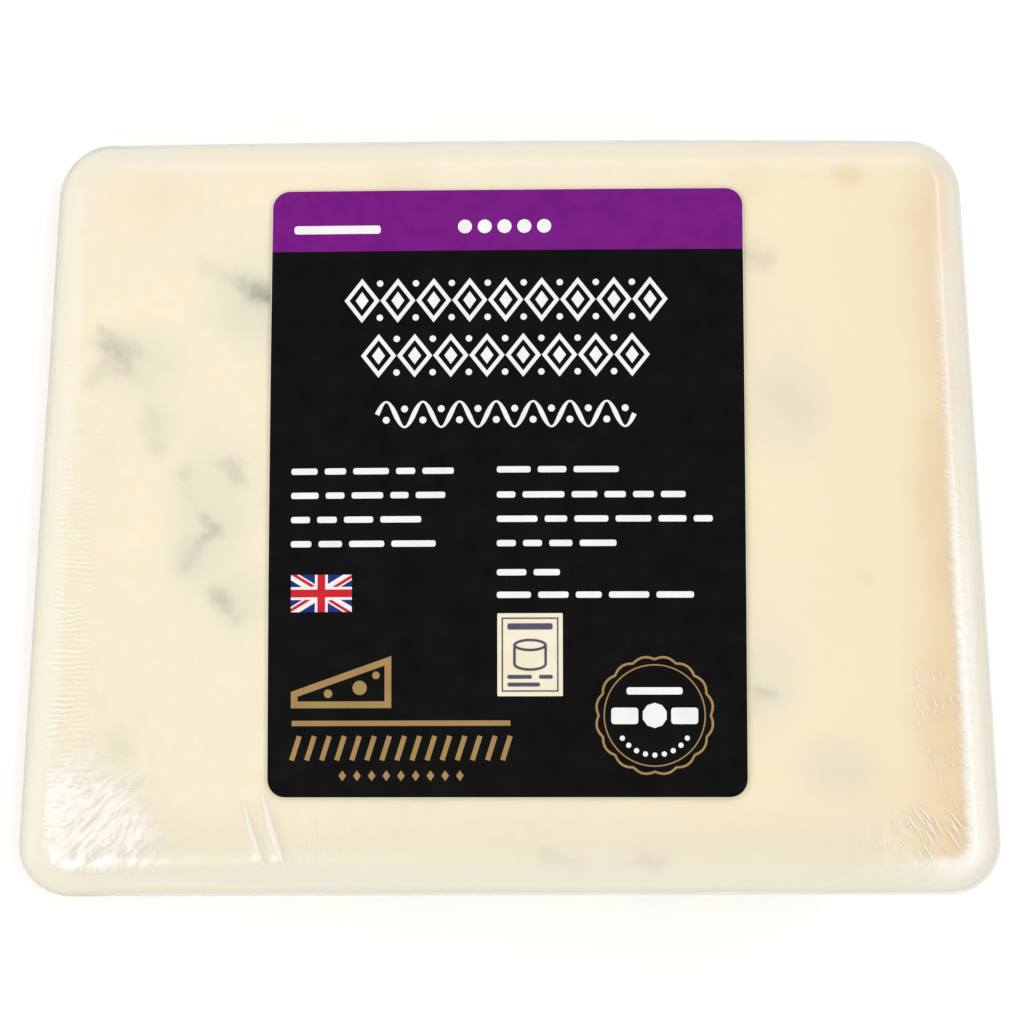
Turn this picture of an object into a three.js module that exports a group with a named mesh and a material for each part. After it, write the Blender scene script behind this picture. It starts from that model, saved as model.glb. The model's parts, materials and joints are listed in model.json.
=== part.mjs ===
// A pre-packed wedge of blue cheese: a sector cut from a round wheel and drawn tight in clear film, lying on
// one of its two cut faces, with a printed label stuck on the other.
//
// The wheel's axis runs along Y. A place in the cheese is given in the wheel's own terms: its distance from the
// wheel's axis, its height along that axis, and its share of the way round from the lower cut face (0) to the
// upper one (1). The pack narrows to the blunt tip at -X and is tallest at the rind, at +X.
// Millimetres, +Z up. The origin is the middle of the bounding box's underside.

import * as THREE from "three";
import { mergeVertices } from "three/addons/utils/BufferGeometryUtils.js";

// Driving dimensions of the wedge
const WEDGE_ANGLE = THREE.MathUtils.degToRad(26); // between the two cut faces
const TIP_RADIUS = 9; // from the wheel's axis to the blunt tip, half way up the wheel
const WEDGE_HEIGHT = 80; // along the wheel's axis
const BASE_LENGTH = 103; // of a cut face at -Y, where the cheese has slumped
const TOP_LENGTH = 96; // of a cut face at +Y
const CORNER_RADIUS = 5.6; // of a cut face's corners
const EDGE_RADIUS = 4; // where the film draws the cut faces round into the walls
const FACE_CROWN = 2; // how far the middle of the upper face stands proud of its rim
const WALL_BULGE = 0.3; // how far the middle of an end wall stands proud
const TOP_BOW = 0.45; // how far the middle of the end at +Y stands beyond its corners

// Driving dimensions of the label
const LABEL_LENGTH = 50; // from the tip's side to the rind's side
const LABEL_HEIGHT = 64.4;
const LABEL_CORNER_RADIUS = 1.9;
const LABEL_THICKNESS = 0.3;
const LABEL_GAP = 0.3; // clear of the film under it
const LABEL_SHIFT = new THREE.Vector2(-0.2, 2.1); // of its middle from the face's, along the radius and up

// How finely each stretch of an outline or a profile is divided
const WEDGE_STEPS = { line: 8, corner: 6, edge: 6, wall: 5, face: 6 };
const LABEL_STEPS = { line: 8, corner: 4 };
const LABEL_RINGS = [1, 0.6, 0.3, 0]; // shares of the way in from its rim

const MEAN_LENGTH = (BASE_LENGTH + TOP_LENGTH) / 2;
const TAPER = (BASE_LENGTH - TOP_LENGTH) / (BASE_LENGTH + TOP_LENGTH); // of the mean length, at either end
const MID_RADIUS = TIP_RADIUS + MEAN_LENGTH / 2;
const BLANK_THICKNESS = 5 * EDGE_RADIUS; // of the even pillow that the wedge is shaped from
const UPPER_NORMAL = new THREE.Vector3(-Math.sin(WEDGE_ANGLE), 0, Math.cos(WEDGE_ANGLE));
const QUARTER_TURN = Math.PI / 2;
const { clamp, lerp } = THREE.MathUtils;

// A rectangle with round corners, as the outline of a face seen square on.
function roundedRectangle(length, height, radius) {
  const x = length / 2 - radius;
  const y = height / 2 - radius;
  return new THREE.Path()
    .absarc(x, y, radius, 0, QUARTER_TURN)
    .absarc(-x, y, radius, QUARTER_TURN, 2 * QUARTER_TURN)
    .absarc(-x, -y, radius, 2 * QUARTER_TURN, 3 * QUARTER_TURN)
    .absarc(x, -y, radius, 3 * QUARTER_TURN, 4 * QUARTER_TURN)
    .closePath();
}

// The points of an outline, each with the direction that faces out of it there.
function outlinePoints(path, steps) {
  return path.curves.flatMap((curve) => {
    const count = curve.isLineCurve ? steps.line : steps.corner;
    return Array.from({ length: count }, (_, i) => {
      const along = curve.getTangent(i / count);
      return { at: curve.getPoint(i / count), out: new THREE.Vector2(along.y, -along.x) };
    });
  });
}

// Half the section of a round pillow, from the middle of its underside to the middle of its top.
function pillowProfile(radius, edge, thickness, steps) {
  const flat = radius - edge;
  const path = new THREE.Path()
    .moveTo(0, 0)
    .lineTo(flat, 0)
    .absarc(flat, edge, edge, -QUARTER_TURN, 0)
    .lineTo(radius, thickness - edge)
    .absarc(flat, thickness - edge, edge, 0, QUARTER_TURN)
    .lineTo(0, thickness);
  const counts = [steps.face, steps.edge, steps.wall, steps.edge, steps.face];
  return path.curves.flatMap((curve, i) => curve.getPoints(counts[i]).slice(i === 0 ? 0 : 1));
}

// Turns a round pillow, then squares it off: each of its points moves from its circle to the same share of the
// way out to the outline. place(plan, height) says where a point of the squared-off pillow goes.
function pillow(outline, radius, edge, profile, place) {
  const geometry = new THREE.LatheGeometry(profile, outline.length);
  const position = geometry.getAttribute("position");
  for (let i = 0; i < position.count; i += 1) {
    const { at, out } = outline[Math.floor(i / profile.length) % outline.length];
    const point = profile[i % profile.length];
    const inset = Math.min(edge, radius - point.x);
    const share = Math.min(1, point.x / (radius - edge));
    const plan = at.clone().addScaledVector(out, -inset).multiplyScalar(share);
    position.setXYZ(i, ...place(plan, point.y));
  }
  geometry.deleteAttribute("normal");
  geometry.deleteAttribute("uv");
  const merged = mergeVertices(geometry);
  merged.computeVertexNormals();
  return merged;
}

// Where the cheese is at a distance from the wheel's axis, a height along it, and a share of the way round.
function inWheel(distance, height, share) {
  const angle = share * WEDGE_ANGLE;
  return new THREE.Vector3(distance * Math.cos(angle), height, distance * Math.sin(angle));
}

// How far a point of the face's plan is from the wheel's axis: the slumped end is longer than the other.
function distanceAt(plan) {
  return MID_RADIUS + plan.x * (1 - TAPER * (plan.y / (WEDGE_HEIGHT / 2)));
}

// How far the slightly domed end at +Y reaches beyond a straight one.
function bowAt(plan) {
  const across = clamp(plan.x / (MEAN_LENGTH / 2), -1, 1);
  const up = clamp(plan.y / (WEDGE_HEIGHT / 2), 0, 1);
  return TOP_BOW * (1 - across ** 2) * up;
}

// How far the crowned upper face stands above the flat one through its rim.
function crownAt(plan) {
  const across = clamp(plan.x / (MEAN_LENGTH / 2), -1, 1);
  const up = clamp(plan.y / (WEDGE_HEIGHT / 2), -1, 1);
  return FACE_CROWN * (1 - across ** 2) * (1 - up ** 2);
}

// A height in the even blank, as a share of the way up a wedge that is so thick there. The round edges keep
// their size where there is room for both, and share what there is at the tip.
function shareUp(height, thickness) {
  const edge = Math.min(EDGE_RADIUS, thickness / 2);
  const belowTop = BLANK_THICKNESS - height;
  if (height <= EDGE_RADIUS) return ((height / EDGE_RADIUS) * edge) / thickness;
  if (belowTop <= EDGE_RADIUS) return 1 - ((belowTop / EDGE_RADIUS) * edge) / thickness;
  const up = (height - EDGE_RADIUS) / (BLANK_THICKNESS - 2 * EDGE_RADIUS);
  return lerp(edge, thickness - edge, up) / thickness;
}

// The cheese in its film, as one solid.
function wrappedWedge() {
  const outline = outlinePoints(roundedRectangle(MEAN_LENGTH, WEDGE_HEIGHT, CORNER_RADIUS), WEDGE_STEPS);
  const radius = MEAN_LENGTH / 2;
  const profile = pillowProfile(radius, EDGE_RADIUS, BLANK_THICKNESS, WEDGE_STEPS);
  return pillow(outline, radius, EDGE_RADIUS, profile, (plan, thickness) => {
    const distance = distanceAt(plan);
    const share = shareUp(thickness, distance * WEDGE_ANGLE);
    const bulge = (WALL_BULGE / (WEDGE_HEIGHT / 2)) * 4 * share * (1 - share);
    const crown = share > 0.5 ? crownAt(plan) : 0;
    const height = plan.y * (1 + bulge) + bowAt(plan);
    return inWheel(distance, height, share).addScaledVector(UPPER_NORMAL, crown);
  });
}

// The label, which follows the crowned face a little way above it.
function label() {
  const outline = outlinePoints(roundedRectangle(LABEL_LENGTH, LABEL_HEIGHT, LABEL_CORNER_RADIUS), LABEL_STEPS);
  const radius = LABEL_LENGTH / 2;
  const margin = LABEL_CORNER_RADIUS / 2; // a strip of even width along the rim
  const upper = LABEL_RINGS.map((share) => new THREE.Vector2(share * (radius - margin), LABEL_THICKNESS));
  const lower = upper.map((point) => new THREE.Vector2(point.x, 0)).reverse();
  const rim = [new THREE.Vector2(radius, 0), new THREE.Vector2(radius, LABEL_THICKNESS)];
  return pillow(outline, radius, margin, [...lower, ...rim, ...upper], (plan, height) => {
    const onFace = plan.clone().add(LABEL_SHIFT);
    const above = LABEL_GAP + crownAt(onFace) + height;
    return inWheel(MID_RADIUS + onFace.x, onFace.y, 1).addScaledVector(UPPER_NORMAL, above);
  });
}

// The object

const filmOverCheese = new THREE.MeshStandardMaterial({ color: 0xf6e8c6, roughness: 0.2, metalness: 0 });
const printedPaper = new THREE.MeshStandardMaterial({ color: 0x151515, roughness: 0.45, metalness: 0 });

function named(name, geometry, material) {
  const mesh = new THREE.Mesh(geometry, material);
  mesh.name = name;
  return mesh;
}

const pack = new THREE.Group();
pack.add(named("wrapped_wedge", wrappedWedge(), filmOverCheese));
pack.add(named("label", label(), printedPaper));

// The pack stands on z = 0, with the origin under the middle of its box.
const box = new THREE.Box3().setFromObject(pack);
const middle = box.getCenter(new THREE.Vector3());
pack.position.set(-middle.x, -middle.y, -box.min.z);

export default pack;
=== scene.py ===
# %% [markdown]
# # A wedge of blue cheese in shrink film
#
# This lesson dresses a pre-packed wedge of blue-veined cheese. The real thing has three layers: the cheese
# itself, a clear film that hot air has shrunk tight around it, and a printed label stuck on the film. We
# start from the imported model, which holds the true sizes, and never move it.

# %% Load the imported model
import json
import math
import random

import bmesh
import bpy
from mathutils import Matrix, Vector, noise

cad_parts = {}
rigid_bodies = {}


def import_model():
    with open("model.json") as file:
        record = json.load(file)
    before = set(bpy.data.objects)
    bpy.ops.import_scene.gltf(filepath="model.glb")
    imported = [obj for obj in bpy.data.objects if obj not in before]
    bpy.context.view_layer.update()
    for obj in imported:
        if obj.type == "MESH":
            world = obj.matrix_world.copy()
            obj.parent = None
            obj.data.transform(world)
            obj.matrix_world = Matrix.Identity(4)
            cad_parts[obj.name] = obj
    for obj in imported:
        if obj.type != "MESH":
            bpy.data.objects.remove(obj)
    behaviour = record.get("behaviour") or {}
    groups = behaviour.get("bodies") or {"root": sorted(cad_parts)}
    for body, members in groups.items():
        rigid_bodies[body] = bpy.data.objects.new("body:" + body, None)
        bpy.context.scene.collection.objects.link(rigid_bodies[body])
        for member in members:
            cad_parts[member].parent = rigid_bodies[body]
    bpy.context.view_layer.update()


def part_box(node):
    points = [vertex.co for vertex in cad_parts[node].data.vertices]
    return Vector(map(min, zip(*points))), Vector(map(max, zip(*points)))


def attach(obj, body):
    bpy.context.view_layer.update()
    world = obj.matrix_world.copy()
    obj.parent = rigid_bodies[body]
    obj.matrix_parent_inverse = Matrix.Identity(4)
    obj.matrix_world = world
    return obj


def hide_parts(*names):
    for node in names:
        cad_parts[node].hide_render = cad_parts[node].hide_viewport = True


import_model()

# %% [markdown]
# ## Working units and a few small helpers
#
# Blender counts in metres and we think in millimetres, so every size is written as a number times MM.
# Colours are easiest to read as hex values, as in a paint program. Those are sRGB and shaders want linear
# light, so one function converts them. One more adds a shader node and returns its output, ready to be
# linked to the next. One clears the selection, because an operator acts on everything that is selected. Two
# soft steps shape every fade that follows.

# %% Units and helpers
MM = 0.001
TURN = 2 * math.pi
QUARTER_TURN = math.pi / 2


def hex_colour(code):
    """Turns an sRGB hex colour such as "#F9EECE" into linear RGBA."""
    shares = [int(code[i : i + 2], 16) / 255 for i in (1, 3, 5)]
    return [c / 12.92 if c <= 0.04045 else ((c + 0.055) / 1.055) ** 2.4 for c in shares] + [1.0]


def add_node(tree, kind, inputs=None, output=None, **settings):
    """Adds a shader node with its settings. Each input is given a value, or the output to link to it.

    Returns the node's output of that name, or else the first that its settings leave in use.
    """
    node = tree.nodes.new("ShaderNode" + kind)
    for name, value in settings.items():
        setattr(node, name, value)
    for name, value in (inputs or {}).items():
        if isinstance(value, bpy.types.NodeSocket):
            tree.links.new(value, node.inputs[name])
        else:
            node.inputs[name].default_value = value
    in_use = [socket for socket in node.outputs if socket.enabled]
    return node.outputs[output] if output else next(iter(in_use), None)


def select_only(*pieces):
    """Deselects everything, then selects these pieces and makes the first one active."""
    for thing in bpy.context.view_layer.objects:
        thing.select_set(thing in pieces)
    bpy.context.view_layer.objects.active = pieces[0] if pieces else None


def start_piece(name):
    """Names the primitive that was just added, selects it alone and opens it in edit mode, all selected."""
    piece = bpy.context.object
    piece.name = piece.data.name = name
    select_only(piece)
    bpy.ops.object.mode_set(mode="EDIT")
    bpy.ops.mesh.select_all(action="SELECT")
    return piece


def apply_modifier(piece, kind, **settings):
    """Adds a modifier with its settings and applies it."""
    select_only(piece)
    modifier = piece.modifiers.new(kind.lower(), kind)
    for name, value in settings.items():
        setattr(modifier, name, value)
    bpy.ops.object.modifier_apply(modifier=modifier.name)


def smooth_step(low, high, value):
    """Rises softly from 0 at low to 1 at high, or falls where low is the larger."""
    share = min(1.0, max(0.0, (value - low) / (high - low)))
    return share * share * (3 - 2 * share)


def between(start, full, fading, end, value):
    """Rises softly from 0 at start to 1 at full, and falls again from 1 at fading to 0 at end."""
    return smooth_step(start, full, value) * smooth_step(end, fading, value)


print("1 mm is", MM, "m; cream in linear light is", [round(c, 3) for c in hex_colour("#F9EECE")])

# %% [markdown]
# ## The wedge in the terms of its wheel
#
# A wedge is cut from a round wheel, so it is easiest to describe from the wheel's axis: how far out a place
# is, how high along the axis, and what share of the way round from the lower cut face to the upper one.
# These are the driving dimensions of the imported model, and everything that follows hangs on them.

# %% Driving dimensions
WEDGE_ANGLE = math.radians(26)
TIP_RADIUS = 9 * MM
WEDGE_HEIGHT = 80 * MM
BASE_LENGTH = 103 * MM
TOP_LENGTH = 96 * MM
CORNER_RADIUS = 5.6 * MM
EDGE_RADIUS = 4 * MM
FACE_CROWN = 2 * MM
WALL_BULGE = 0.3 * MM
TOP_BOW = 0.45 * MM

HALF_LENGTH = (BASE_LENGTH + TOP_LENGTH) / 4
HALF_HEIGHT = WEDGE_HEIGHT / 2
TAPER = (BASE_LENGTH - TOP_LENGTH) / (BASE_LENGTH + TOP_LENGTH)
MID_RADIUS = TIP_RADIUS + HALF_LENGTH
UPPER_NORMAL = Vector((-math.sin(WEDGE_ANGLE), 0, math.cos(WEDGE_ANGLE)))


def in_wheel(distance, height, share):
    """A place at a distance from the wheel's axis, a height along it and a share of the way round."""
    angle = share * WEDGE_ANGLE
    return Vector((distance * math.cos(angle), height, distance * math.sin(angle)))


def face_share(x, y):
    """A place on a cut face, as shares of the half length and the half height, from its middle."""
    return max(-1.0, min(1.0, x / HALF_LENGTH)), max(-1.0, min(1.0, y / HALF_HEIGHT))


def crown_at(x, y):
    """How far the crowned upper face stands above the flat one through its rim."""
    across, up = face_share(x, y)
    return FACE_CROWN * (1 - across**2) * (1 - up**2)


box_low, box_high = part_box("wrapped_wedge")
print("wedge, mm:", [round(size / MM, 1) for size in box_high - box_low])

# %% [markdown]
# ## A pillow turned on a lathe, then squared off
#
# A box with bevels would be the plain way, but the film needs wrinkles that run square to the rim and fan
# out at the corners, so the mesh's own lines have to run that way. A lathe gives such lines: rings that
# follow the rim, and columns that cross it. So we draw half the section of a round pillow, vertex by
# vertex, turn it with a Screw modifier, and then slide each vertex from its circle to the same share of the
# way round a rectangle with round corners.

# %% The round pillow
BLANK_RADIUS = 40 * MM
BLANK_THICKNESS = 5 * EDGE_RADIUS
FAN_DEPTH = 16 * MM  # how far in from the rim the rings still follow it
BAND_CROWDING = 1.3  # crowds the rings of that band towards the shoulder
WELD = 0.001 * MM


def pillow_section(steps):
    """Half the section of the round pillow, from the middle of its underside to the middle of its top."""
    flat = BLANK_RADIUS - EDGE_RADIUS
    inner = BLANK_RADIUS - FAN_DEPTH
    top = BLANK_THICKNESS
    points = [Vector((0, 0))]

    def line_to(x, z, count, crowding=1.0):
        """Adds a straight stretch, whose points may crowd towards its start."""
        start = points[-1]
        points.extend(start.lerp(Vector((x, z)), (i / count) ** crowding) for i in range(1, count + 1))

    def arc_round(x, z, first, count):
        """Adds a quarter of a circle round a centre, from an angle on."""
        for i in range(1, count + 1):
            angle = first + QUARTER_TURN * i / count
            points.append(Vector((x + EDGE_RADIUS * math.cos(angle), z + EDGE_RADIUS * math.sin(angle))))

    line_to(inner, 0, steps["under_middle"])
    line_to(flat, 0, steps["under_band"])
    arc_round(flat, EDGE_RADIUS, -QUARTER_TURN, steps["lower_edge"])
    line_to(BLANK_RADIUS, top - EDGE_RADIUS, steps["wall"])
    arc_round(flat, top - EDGE_RADIUS, 0, steps["upper_edge"])
    line_to(inner, top, steps["upper_band"], BAND_CROWDING)
    line_to(0, top, steps["upper_middle"])
    return points


def turn_pillow(name, columns, steps):
    """Extrudes the section as a chain of vertices and turns it round the Z axis."""
    section = pillow_section(steps)
    bpy.ops.mesh.primitive_plane_add(size=1 * MM, location=(0, 0, 0))
    pillow = start_piece(name)
    bpy.ops.mesh.merge(type="CENTER")
    for here, there in zip(section, section[1:]):
        step = (there.x - here.x, 0, there.y - here.y)
        bpy.ops.mesh.extrude_region_move(TRANSFORM_OT_translate={"value": step})
    bpy.ops.object.mode_set(mode="OBJECT")
    apply_modifier(pillow, "SCREW", angle=TURN, steps=columns, render_steps=columns, use_smooth_shade=True)
    start_piece(name)
    bpy.ops.mesh.remove_doubles(threshold=WELD)
    bpy.ops.mesh.normals_make_consistent(inside=False)
    bpy.ops.object.mode_set(mode="OBJECT")
    print(name, "as a round pillow:", len(pillow.data.polygons), "faces")
    return pillow


print("round pillow, mm:", round(BLANK_RADIUS / MM), "in radius,", round(BLANK_THICKNESS / MM), "thick")

# %% [markdown]
# ## From the pillow to the wedge
#
# The rectangle's corners stay tight on the shoulder and open wider further in. Along the straight sides the
# columns run in square to the rim, and near the corners they are squeezed together into a fan. Every vertex
# is read once, while the pillow is still round. That reading says where on the wedge the vertex lies, and
# it is kept, because the wrinkles and the mould need it later.

# %% Square it off
CORNER_OPENING = 0.35  # how much wider the corners are for each step in
FAN_OPENING = 1.4  # how much of either straight side joins a corner's fan for each step in


def on_rounded_rectangle(position, half_length, half_height, radius):
    """The point of a quarter of a rounded rectangle's rim, from the middle of its +X side."""
    side = half_height - radius
    bend = radius * QUARTER_TURN
    if position <= side:
        return half_length, position
    if position <= side + bend:
        angle = (position - side) / radius
        x = half_length - radius + radius * math.cos(angle)
        return x, side + radius * math.sin(angle)
    return half_length - radius - (position - side - bend), half_height


def plan_at(share, depth):
    """Where a place lies in the plan of a cut face, from its share of the way round and its depth."""
    ring = min(depth, FAN_DEPTH)
    past_shoulder = max(0, ring - EDGE_RADIUS)
    radius = CORNER_RADIUS - min(ring, EDGE_RADIUS) + CORNER_OPENING * past_shoulder
    half_length, half_height = HALF_LENGTH - ring, HALF_HEIGHT - ring
    inset = half_height + half_length - (2 - QUARTER_TURN) * radius
    rim = HALF_HEIGHT + HALF_LENGTH - (2 - QUARTER_TURN) * CORNER_RADIUS
    straight_side = HALF_HEIGHT - CORNER_RADIUS - FAN_OPENING * past_shoulder
    straight_end = HALF_LENGTH - CORNER_RADIUS - FAN_OPENING * past_shoulder
    quarter, along = divmod((share % 1.0) * 4, 1)
    position = (along if quarter in (0, 2) else 1 - along) * rim
    if position > rim - straight_end:
        position += inset - rim
    elif position > straight_side:
        squeeze = (inset - straight_end - straight_side) / (rim - straight_end - straight_side)
        position = straight_side + (position - straight_side) * squeeze
    scale = min(1, (BLANK_RADIUS - depth) / (BLANK_RADIUS - FAN_DEPTH))
    x, y = on_rounded_rectangle(position, half_length, half_height, radius)
    return scale * (x if quarter in (0, 3) else -x), scale * (y if quarter in (0, 1) else -y)


print("a corner of the face, mm from its middle:", [round(c / MM, 1) for c in plan_at(0.125, 0)])


# %% Read where a vertex lies
def share_up(height, thickness):
    """A height in the even pillow as a share of the way up a wedge that is so thick there."""
    edge = min(EDGE_RADIUS, thickness / 2)
    below_top = BLANK_THICKNESS - height
    if height <= EDGE_RADIUS:
        return height / EDGE_RADIUS * edge / thickness
    if below_top <= EDGE_RADIUS:
        return 1 - below_top / EDGE_RADIUS * edge / thickness
    up = (height - EDGE_RADIUS) / (BLANK_THICKNESS - 2 * EDGE_RADIUS)
    return (edge + up * (thickness - 2 * edge)) / thickness


class Reading:
    """Where a vertex of the pillow lies on the wedge."""

    def __init__(self, share_round, depth, height):
        self.share_round = share_round  # of the way round the rim, from the middle of the rind's side
        self.depth = depth  # in from the rim, in the plan of a cut face
        self.x, self.y = plan_at(share_round, depth)  # in that plan, from its middle
        self.distance = MID_RADIUS + self.x * (1 - TAPER * self.y / HALF_HEIGHT)  # from the wheel's axis
        self.out = self.distance - MID_RADIUS  # from the face's middle, along the face
        thickness = self.distance * WEDGE_ANGLE
        self.share = share_up(height, thickness)  # of the way up, from the lower cut face to the upper one
        self.drop = (1 - self.share) * thickness  # below the upper cut face


thicknesses = [Reading(share_round, 0, 0).distance * WEDGE_ANGLE for share_round in (0.5, 0)]
print("thickness at tip and rind, mm:", [round(thickness / MM, 1) for thickness in thicknesses])

# %% Fold it into a wedge
CROWDED_SHARE = 0.57  # where the film needs its columns closest: below the middle of the tip's side


def wedge_place(reading):
    """Where a vertex goes in the wedge."""
    across, up = face_share(reading.x, reading.y)
    bulge = WALL_BULGE / HALF_HEIGHT * 4 * reading.share * (1 - reading.share)
    bow = TOP_BOW * (1 - across**2) * max(0, up)
    crown = crown_at(reading.x, reading.y) if reading.share > 0.5 else 0
    place = in_wheel(reading.distance, reading.y * (1 + bulge) + bow, reading.share)
    return place + UPPER_NORMAL * crown


def fold_into_wedge(pillow, crowding=0.0):
    """Moves every vertex into the wedge, and returns the reading of each."""
    readings = []
    for vertex in pillow.data.vertices:
        spot = vertex.co
        depth = max(0, BLANK_RADIUS - math.hypot(spot.x, spot.y))
        turned = math.atan2(spot.y, spot.x) / TURN
        crowded = turned - crowding * math.sin(TURN * (turned - CROWDED_SHARE)) / TURN
        readings.append(Reading(crowded % 1.0, depth, spot.z))
        vertex.co = wedge_place(readings[-1])
    pillow.data.update()
    return readings


def set_in_frame(piece):
    """Moves a piece's mesh from the wheel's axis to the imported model's frame."""
    piece.data.transform(Matrix.Translation(TO_FRAME))
    piece.data.update()


def move_along_normals(piece, readings, rise_at):
    """Moves each vertex along its normal by what rise_at(place, reading) says."""
    normals = [vertex.normal.copy() for vertex in piece.data.vertices]
    for vertex, normal, reading in zip(piece.data.vertices, normals, readings):
        vertex.co += normal * rise_at(vertex.co, reading)
    piece.data.update()


# %% [markdown]
# ## The film
#
# Shrink film is a clear polyolefin sleeve, a few hundredths of a millimetre thick. It lies smooth where it
# spans the cheese, rolls over the shoulders in an even curve, and gathers where it had too much slack: in
# short fine wrinkles that run square to the rim, and in fans at the corners. First we make the smooth skin
# and set it in the frame.

# %% The smooth film
FILM_COLUMNS = 1560
FILM_CROWDING = 0.5
FILM_STEPS = dict(
    under_middle=3, under_band=3, lower_edge=5, wall=7, upper_edge=13, upper_band=26, upper_middle=3
)
film = turn_pillow("film", FILM_COLUMNS, FILM_STEPS)
film_readings = fold_into_wedge(film, FILM_CROWDING)

places = [vertex.co for vertex in film.data.vertices]
film_low = Vector([min(place[i] for place in places) for i in range(3)])
film_high = Vector([max(place[i] for place in places) for i in range(3)])
TO_FRAME = (box_low + box_high) / 2 - (film_low + film_high) / 2
TO_FRAME.z = box_low.z - film_low.z
set_in_frame(film)
print("film box, mm:", [round(s / MM, 2) for s in film_high - film_low])

# %% [markdown]
# ## Wrinkles
#
# A Displace modifier can't make wrinkles that follow the rim, so we sculpt them in code: each vertex moves
# along its normal. Down the tip's shoulder runs a row of even ripples, as where a hem is gathered. They are
# a sine wave along the rim whose phase a noise pushes to and fro. The corner below them is crumpled, by a
# noise that is stretched along the columns. The rim is closed, so noise is read on a cylinder with the
# rim's own length and has no seam. Two long pleats run up from the foot, where the film has folded over on
# itself.

# %% Ridges and ripples
RIM_LENGTH = 4 * (HALF_LENGTH + HALF_HEIGHT) - (8 - TURN) * CORNER_RADIUS
RIPPLE = 0.56  # from one crest to the next, in mm


def rim_place(reading, slant=0.0):
    """A place on a cylinder as long round as the rim. slant leans the columns over as they go in."""
    angle = TURN * (reading.share_round + slant * reading.depth / RIM_LENGTH)
    inward = reading.depth - max(0, reading.drop - EDGE_RADIUS)
    return Vector((math.cos(angle), math.sin(angle), 0)) * RIM_LENGTH / TURN + Vector((0, 0, inward))


def ridge(place, apart, reach, seed):
    """Sharp little ridges, from about -1 to 1, so many mm apart along the rim and so long across it."""
    x, y, inward = place / MM
    return 1 - 2.6 * abs(noise.noise(Vector((x / apart, y / apart, inward / reach + seed))))


def scratch(reading, lean, apart, reach, seed):
    """The same ridges, but on the face: they lean by some degrees from +X, and waver."""
    angle = math.radians(lean)
    x, y = reading.out / MM, reading.y / MM
    waver = 0.5 * noise.noise(Vector((x / 2.2, y / 2.2, seed + 0.5)))
    along = x * math.cos(angle) + y * math.sin(angle)
    across = y * math.cos(angle) - x * math.sin(angle) + waver
    return 1 - 2.6 * abs(noise.noise(Vector((along / reach, across / apart, seed))))


def ripple_at(reading):
    """The even ripples of the tip's shoulder, from -1 to 1, with stretches where they die down."""
    along, across = reading.share_round * RIM_LENGTH / MM, reading.depth / MM
    push = noise.noise(Vector((along / 3, across / 3.5, 2.5)))
    push += 0.4 * noise.noise(Vector((along / 0.9, across / 2, 7.5)))
    swell = noise.noise(Vector((along / 2.6, across / 2.2, 12.5)))
    height = min(1.0, max(0.35, 0.75 + 1.2 * swell))
    return height * math.sin(TURN * (along / RIPPLE + 0.7 * push))


print("the rim is", round(RIM_LENGTH / MM), "mm long, its ripples are", RIPPLE, "mm wide")

# %% Pleats
PLEATS_BELOW = -28  # in mm
PLEATS = (
    # upper end, lower end, bow and width, in mm
    ((-27.7, -30.2), (-25.4, -37.3), -0.22, 0.50),
    ((-25.7, -29.6), (-23.3, -37.4), -0.18, 0.68),
)


def pleat_at(x, y):
    """1 on the ridge of a pleat, fading out on either side of it."""
    here = Vector((x, y)) / MM
    most = 0.0
    if here.y > PLEATS_BELOW:
        return most
    for upper, lower, bow, width in PLEATS:
        start, run = Vector(upper), Vector(lower) - Vector(upper)
        share = (here - start).dot(run) / run.length_squared
        if 0 < share < 1:
            across = (here - start).dot(Vector((-run.y, run.x)).normalized())
            aside = across - bow * math.sin(math.pi * share)
            most = max(most, math.sin(math.pi * share) ** 0.5 * math.exp(-((aside / width) ** 2)))
    return most


print("pleats, mm long:", [round((Vector(lower) - Vector(upper)).length, 1) for upper, lower, *_ in PLEATS])

# %% Where the film gathers
# Across the shoulder and along the side, in mm: where a gather begins, is full, starts to fade and ends
TIP_ACROSS, TIP_ALONG = (1.7, 2.7, 4.6, 8.0), (-34, -28, 0, 14)
RIND_ACROSS, RIND_ALONG = (2.0, 2.8, 3.6, 4.4), (-37, -33, 12, 29)
HEAD_ACROSS = (1.7, 2.7, 3.5, 5.0)
INSIDE = (1.8, 3.0)  # in from the rim, where the round gathers begin
# The round gathers' middles and radii, in mm
HEAD = ((-47, 15), 7)
LOW_TIP = ((-43.8, -33.8), 11.2)
LOW_RIND = ((41.5, -34), 6.5)
RIND_SIDE = ((42.5, -20), 5)
FOOT = ((-20, -37), 9)


def near(reading, middle, radius):
    """1 in the middle of a round spot of the face, fading to 0 at its radius, in mm."""
    away = math.hypot(reading.out / MM - middle[0], reading.y / MM - middle[1])
    return smooth_step(radius, 0.3 * radius, away)


class Gathers:
    """How strongly each gather pulls at a place of the film, from 0 to 1."""

    def __init__(self, at):
        y, depth = at.y / MM, at.depth / MM
        above = at.share > 0.5
        inside = smooth_step(*INSIDE, depth) * above
        patchy = 1 + 0.35 * noise.noise(Vector((at.out, at.y, 0)) / (3.5 * MM))
        self.tip = between(*TIP_ACROSS, depth) * between(*TIP_ALONG, y) * (at.x < 0) * above
        self.tip += 0.35 * between(*HEAD_ACROSS, depth) * near(at, *HEAD) * above
        self.rind = between(*RIND_ACROSS, depth) * between(*RIND_ALONG, y) * (at.x > 0) * above
        self.low_tip = near(at, LOW_TIP[0], LOW_TIP[1] * patchy) * inside
        self.low_rind = max(near(at, *LOW_RIND), 0.5 * near(at, *RIND_SIDE)) * inside
        self.foot = 0.35 * near(at, *FOOT) * inside
        self.wall = smooth_step(0.6, 0.35, at.share)


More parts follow.
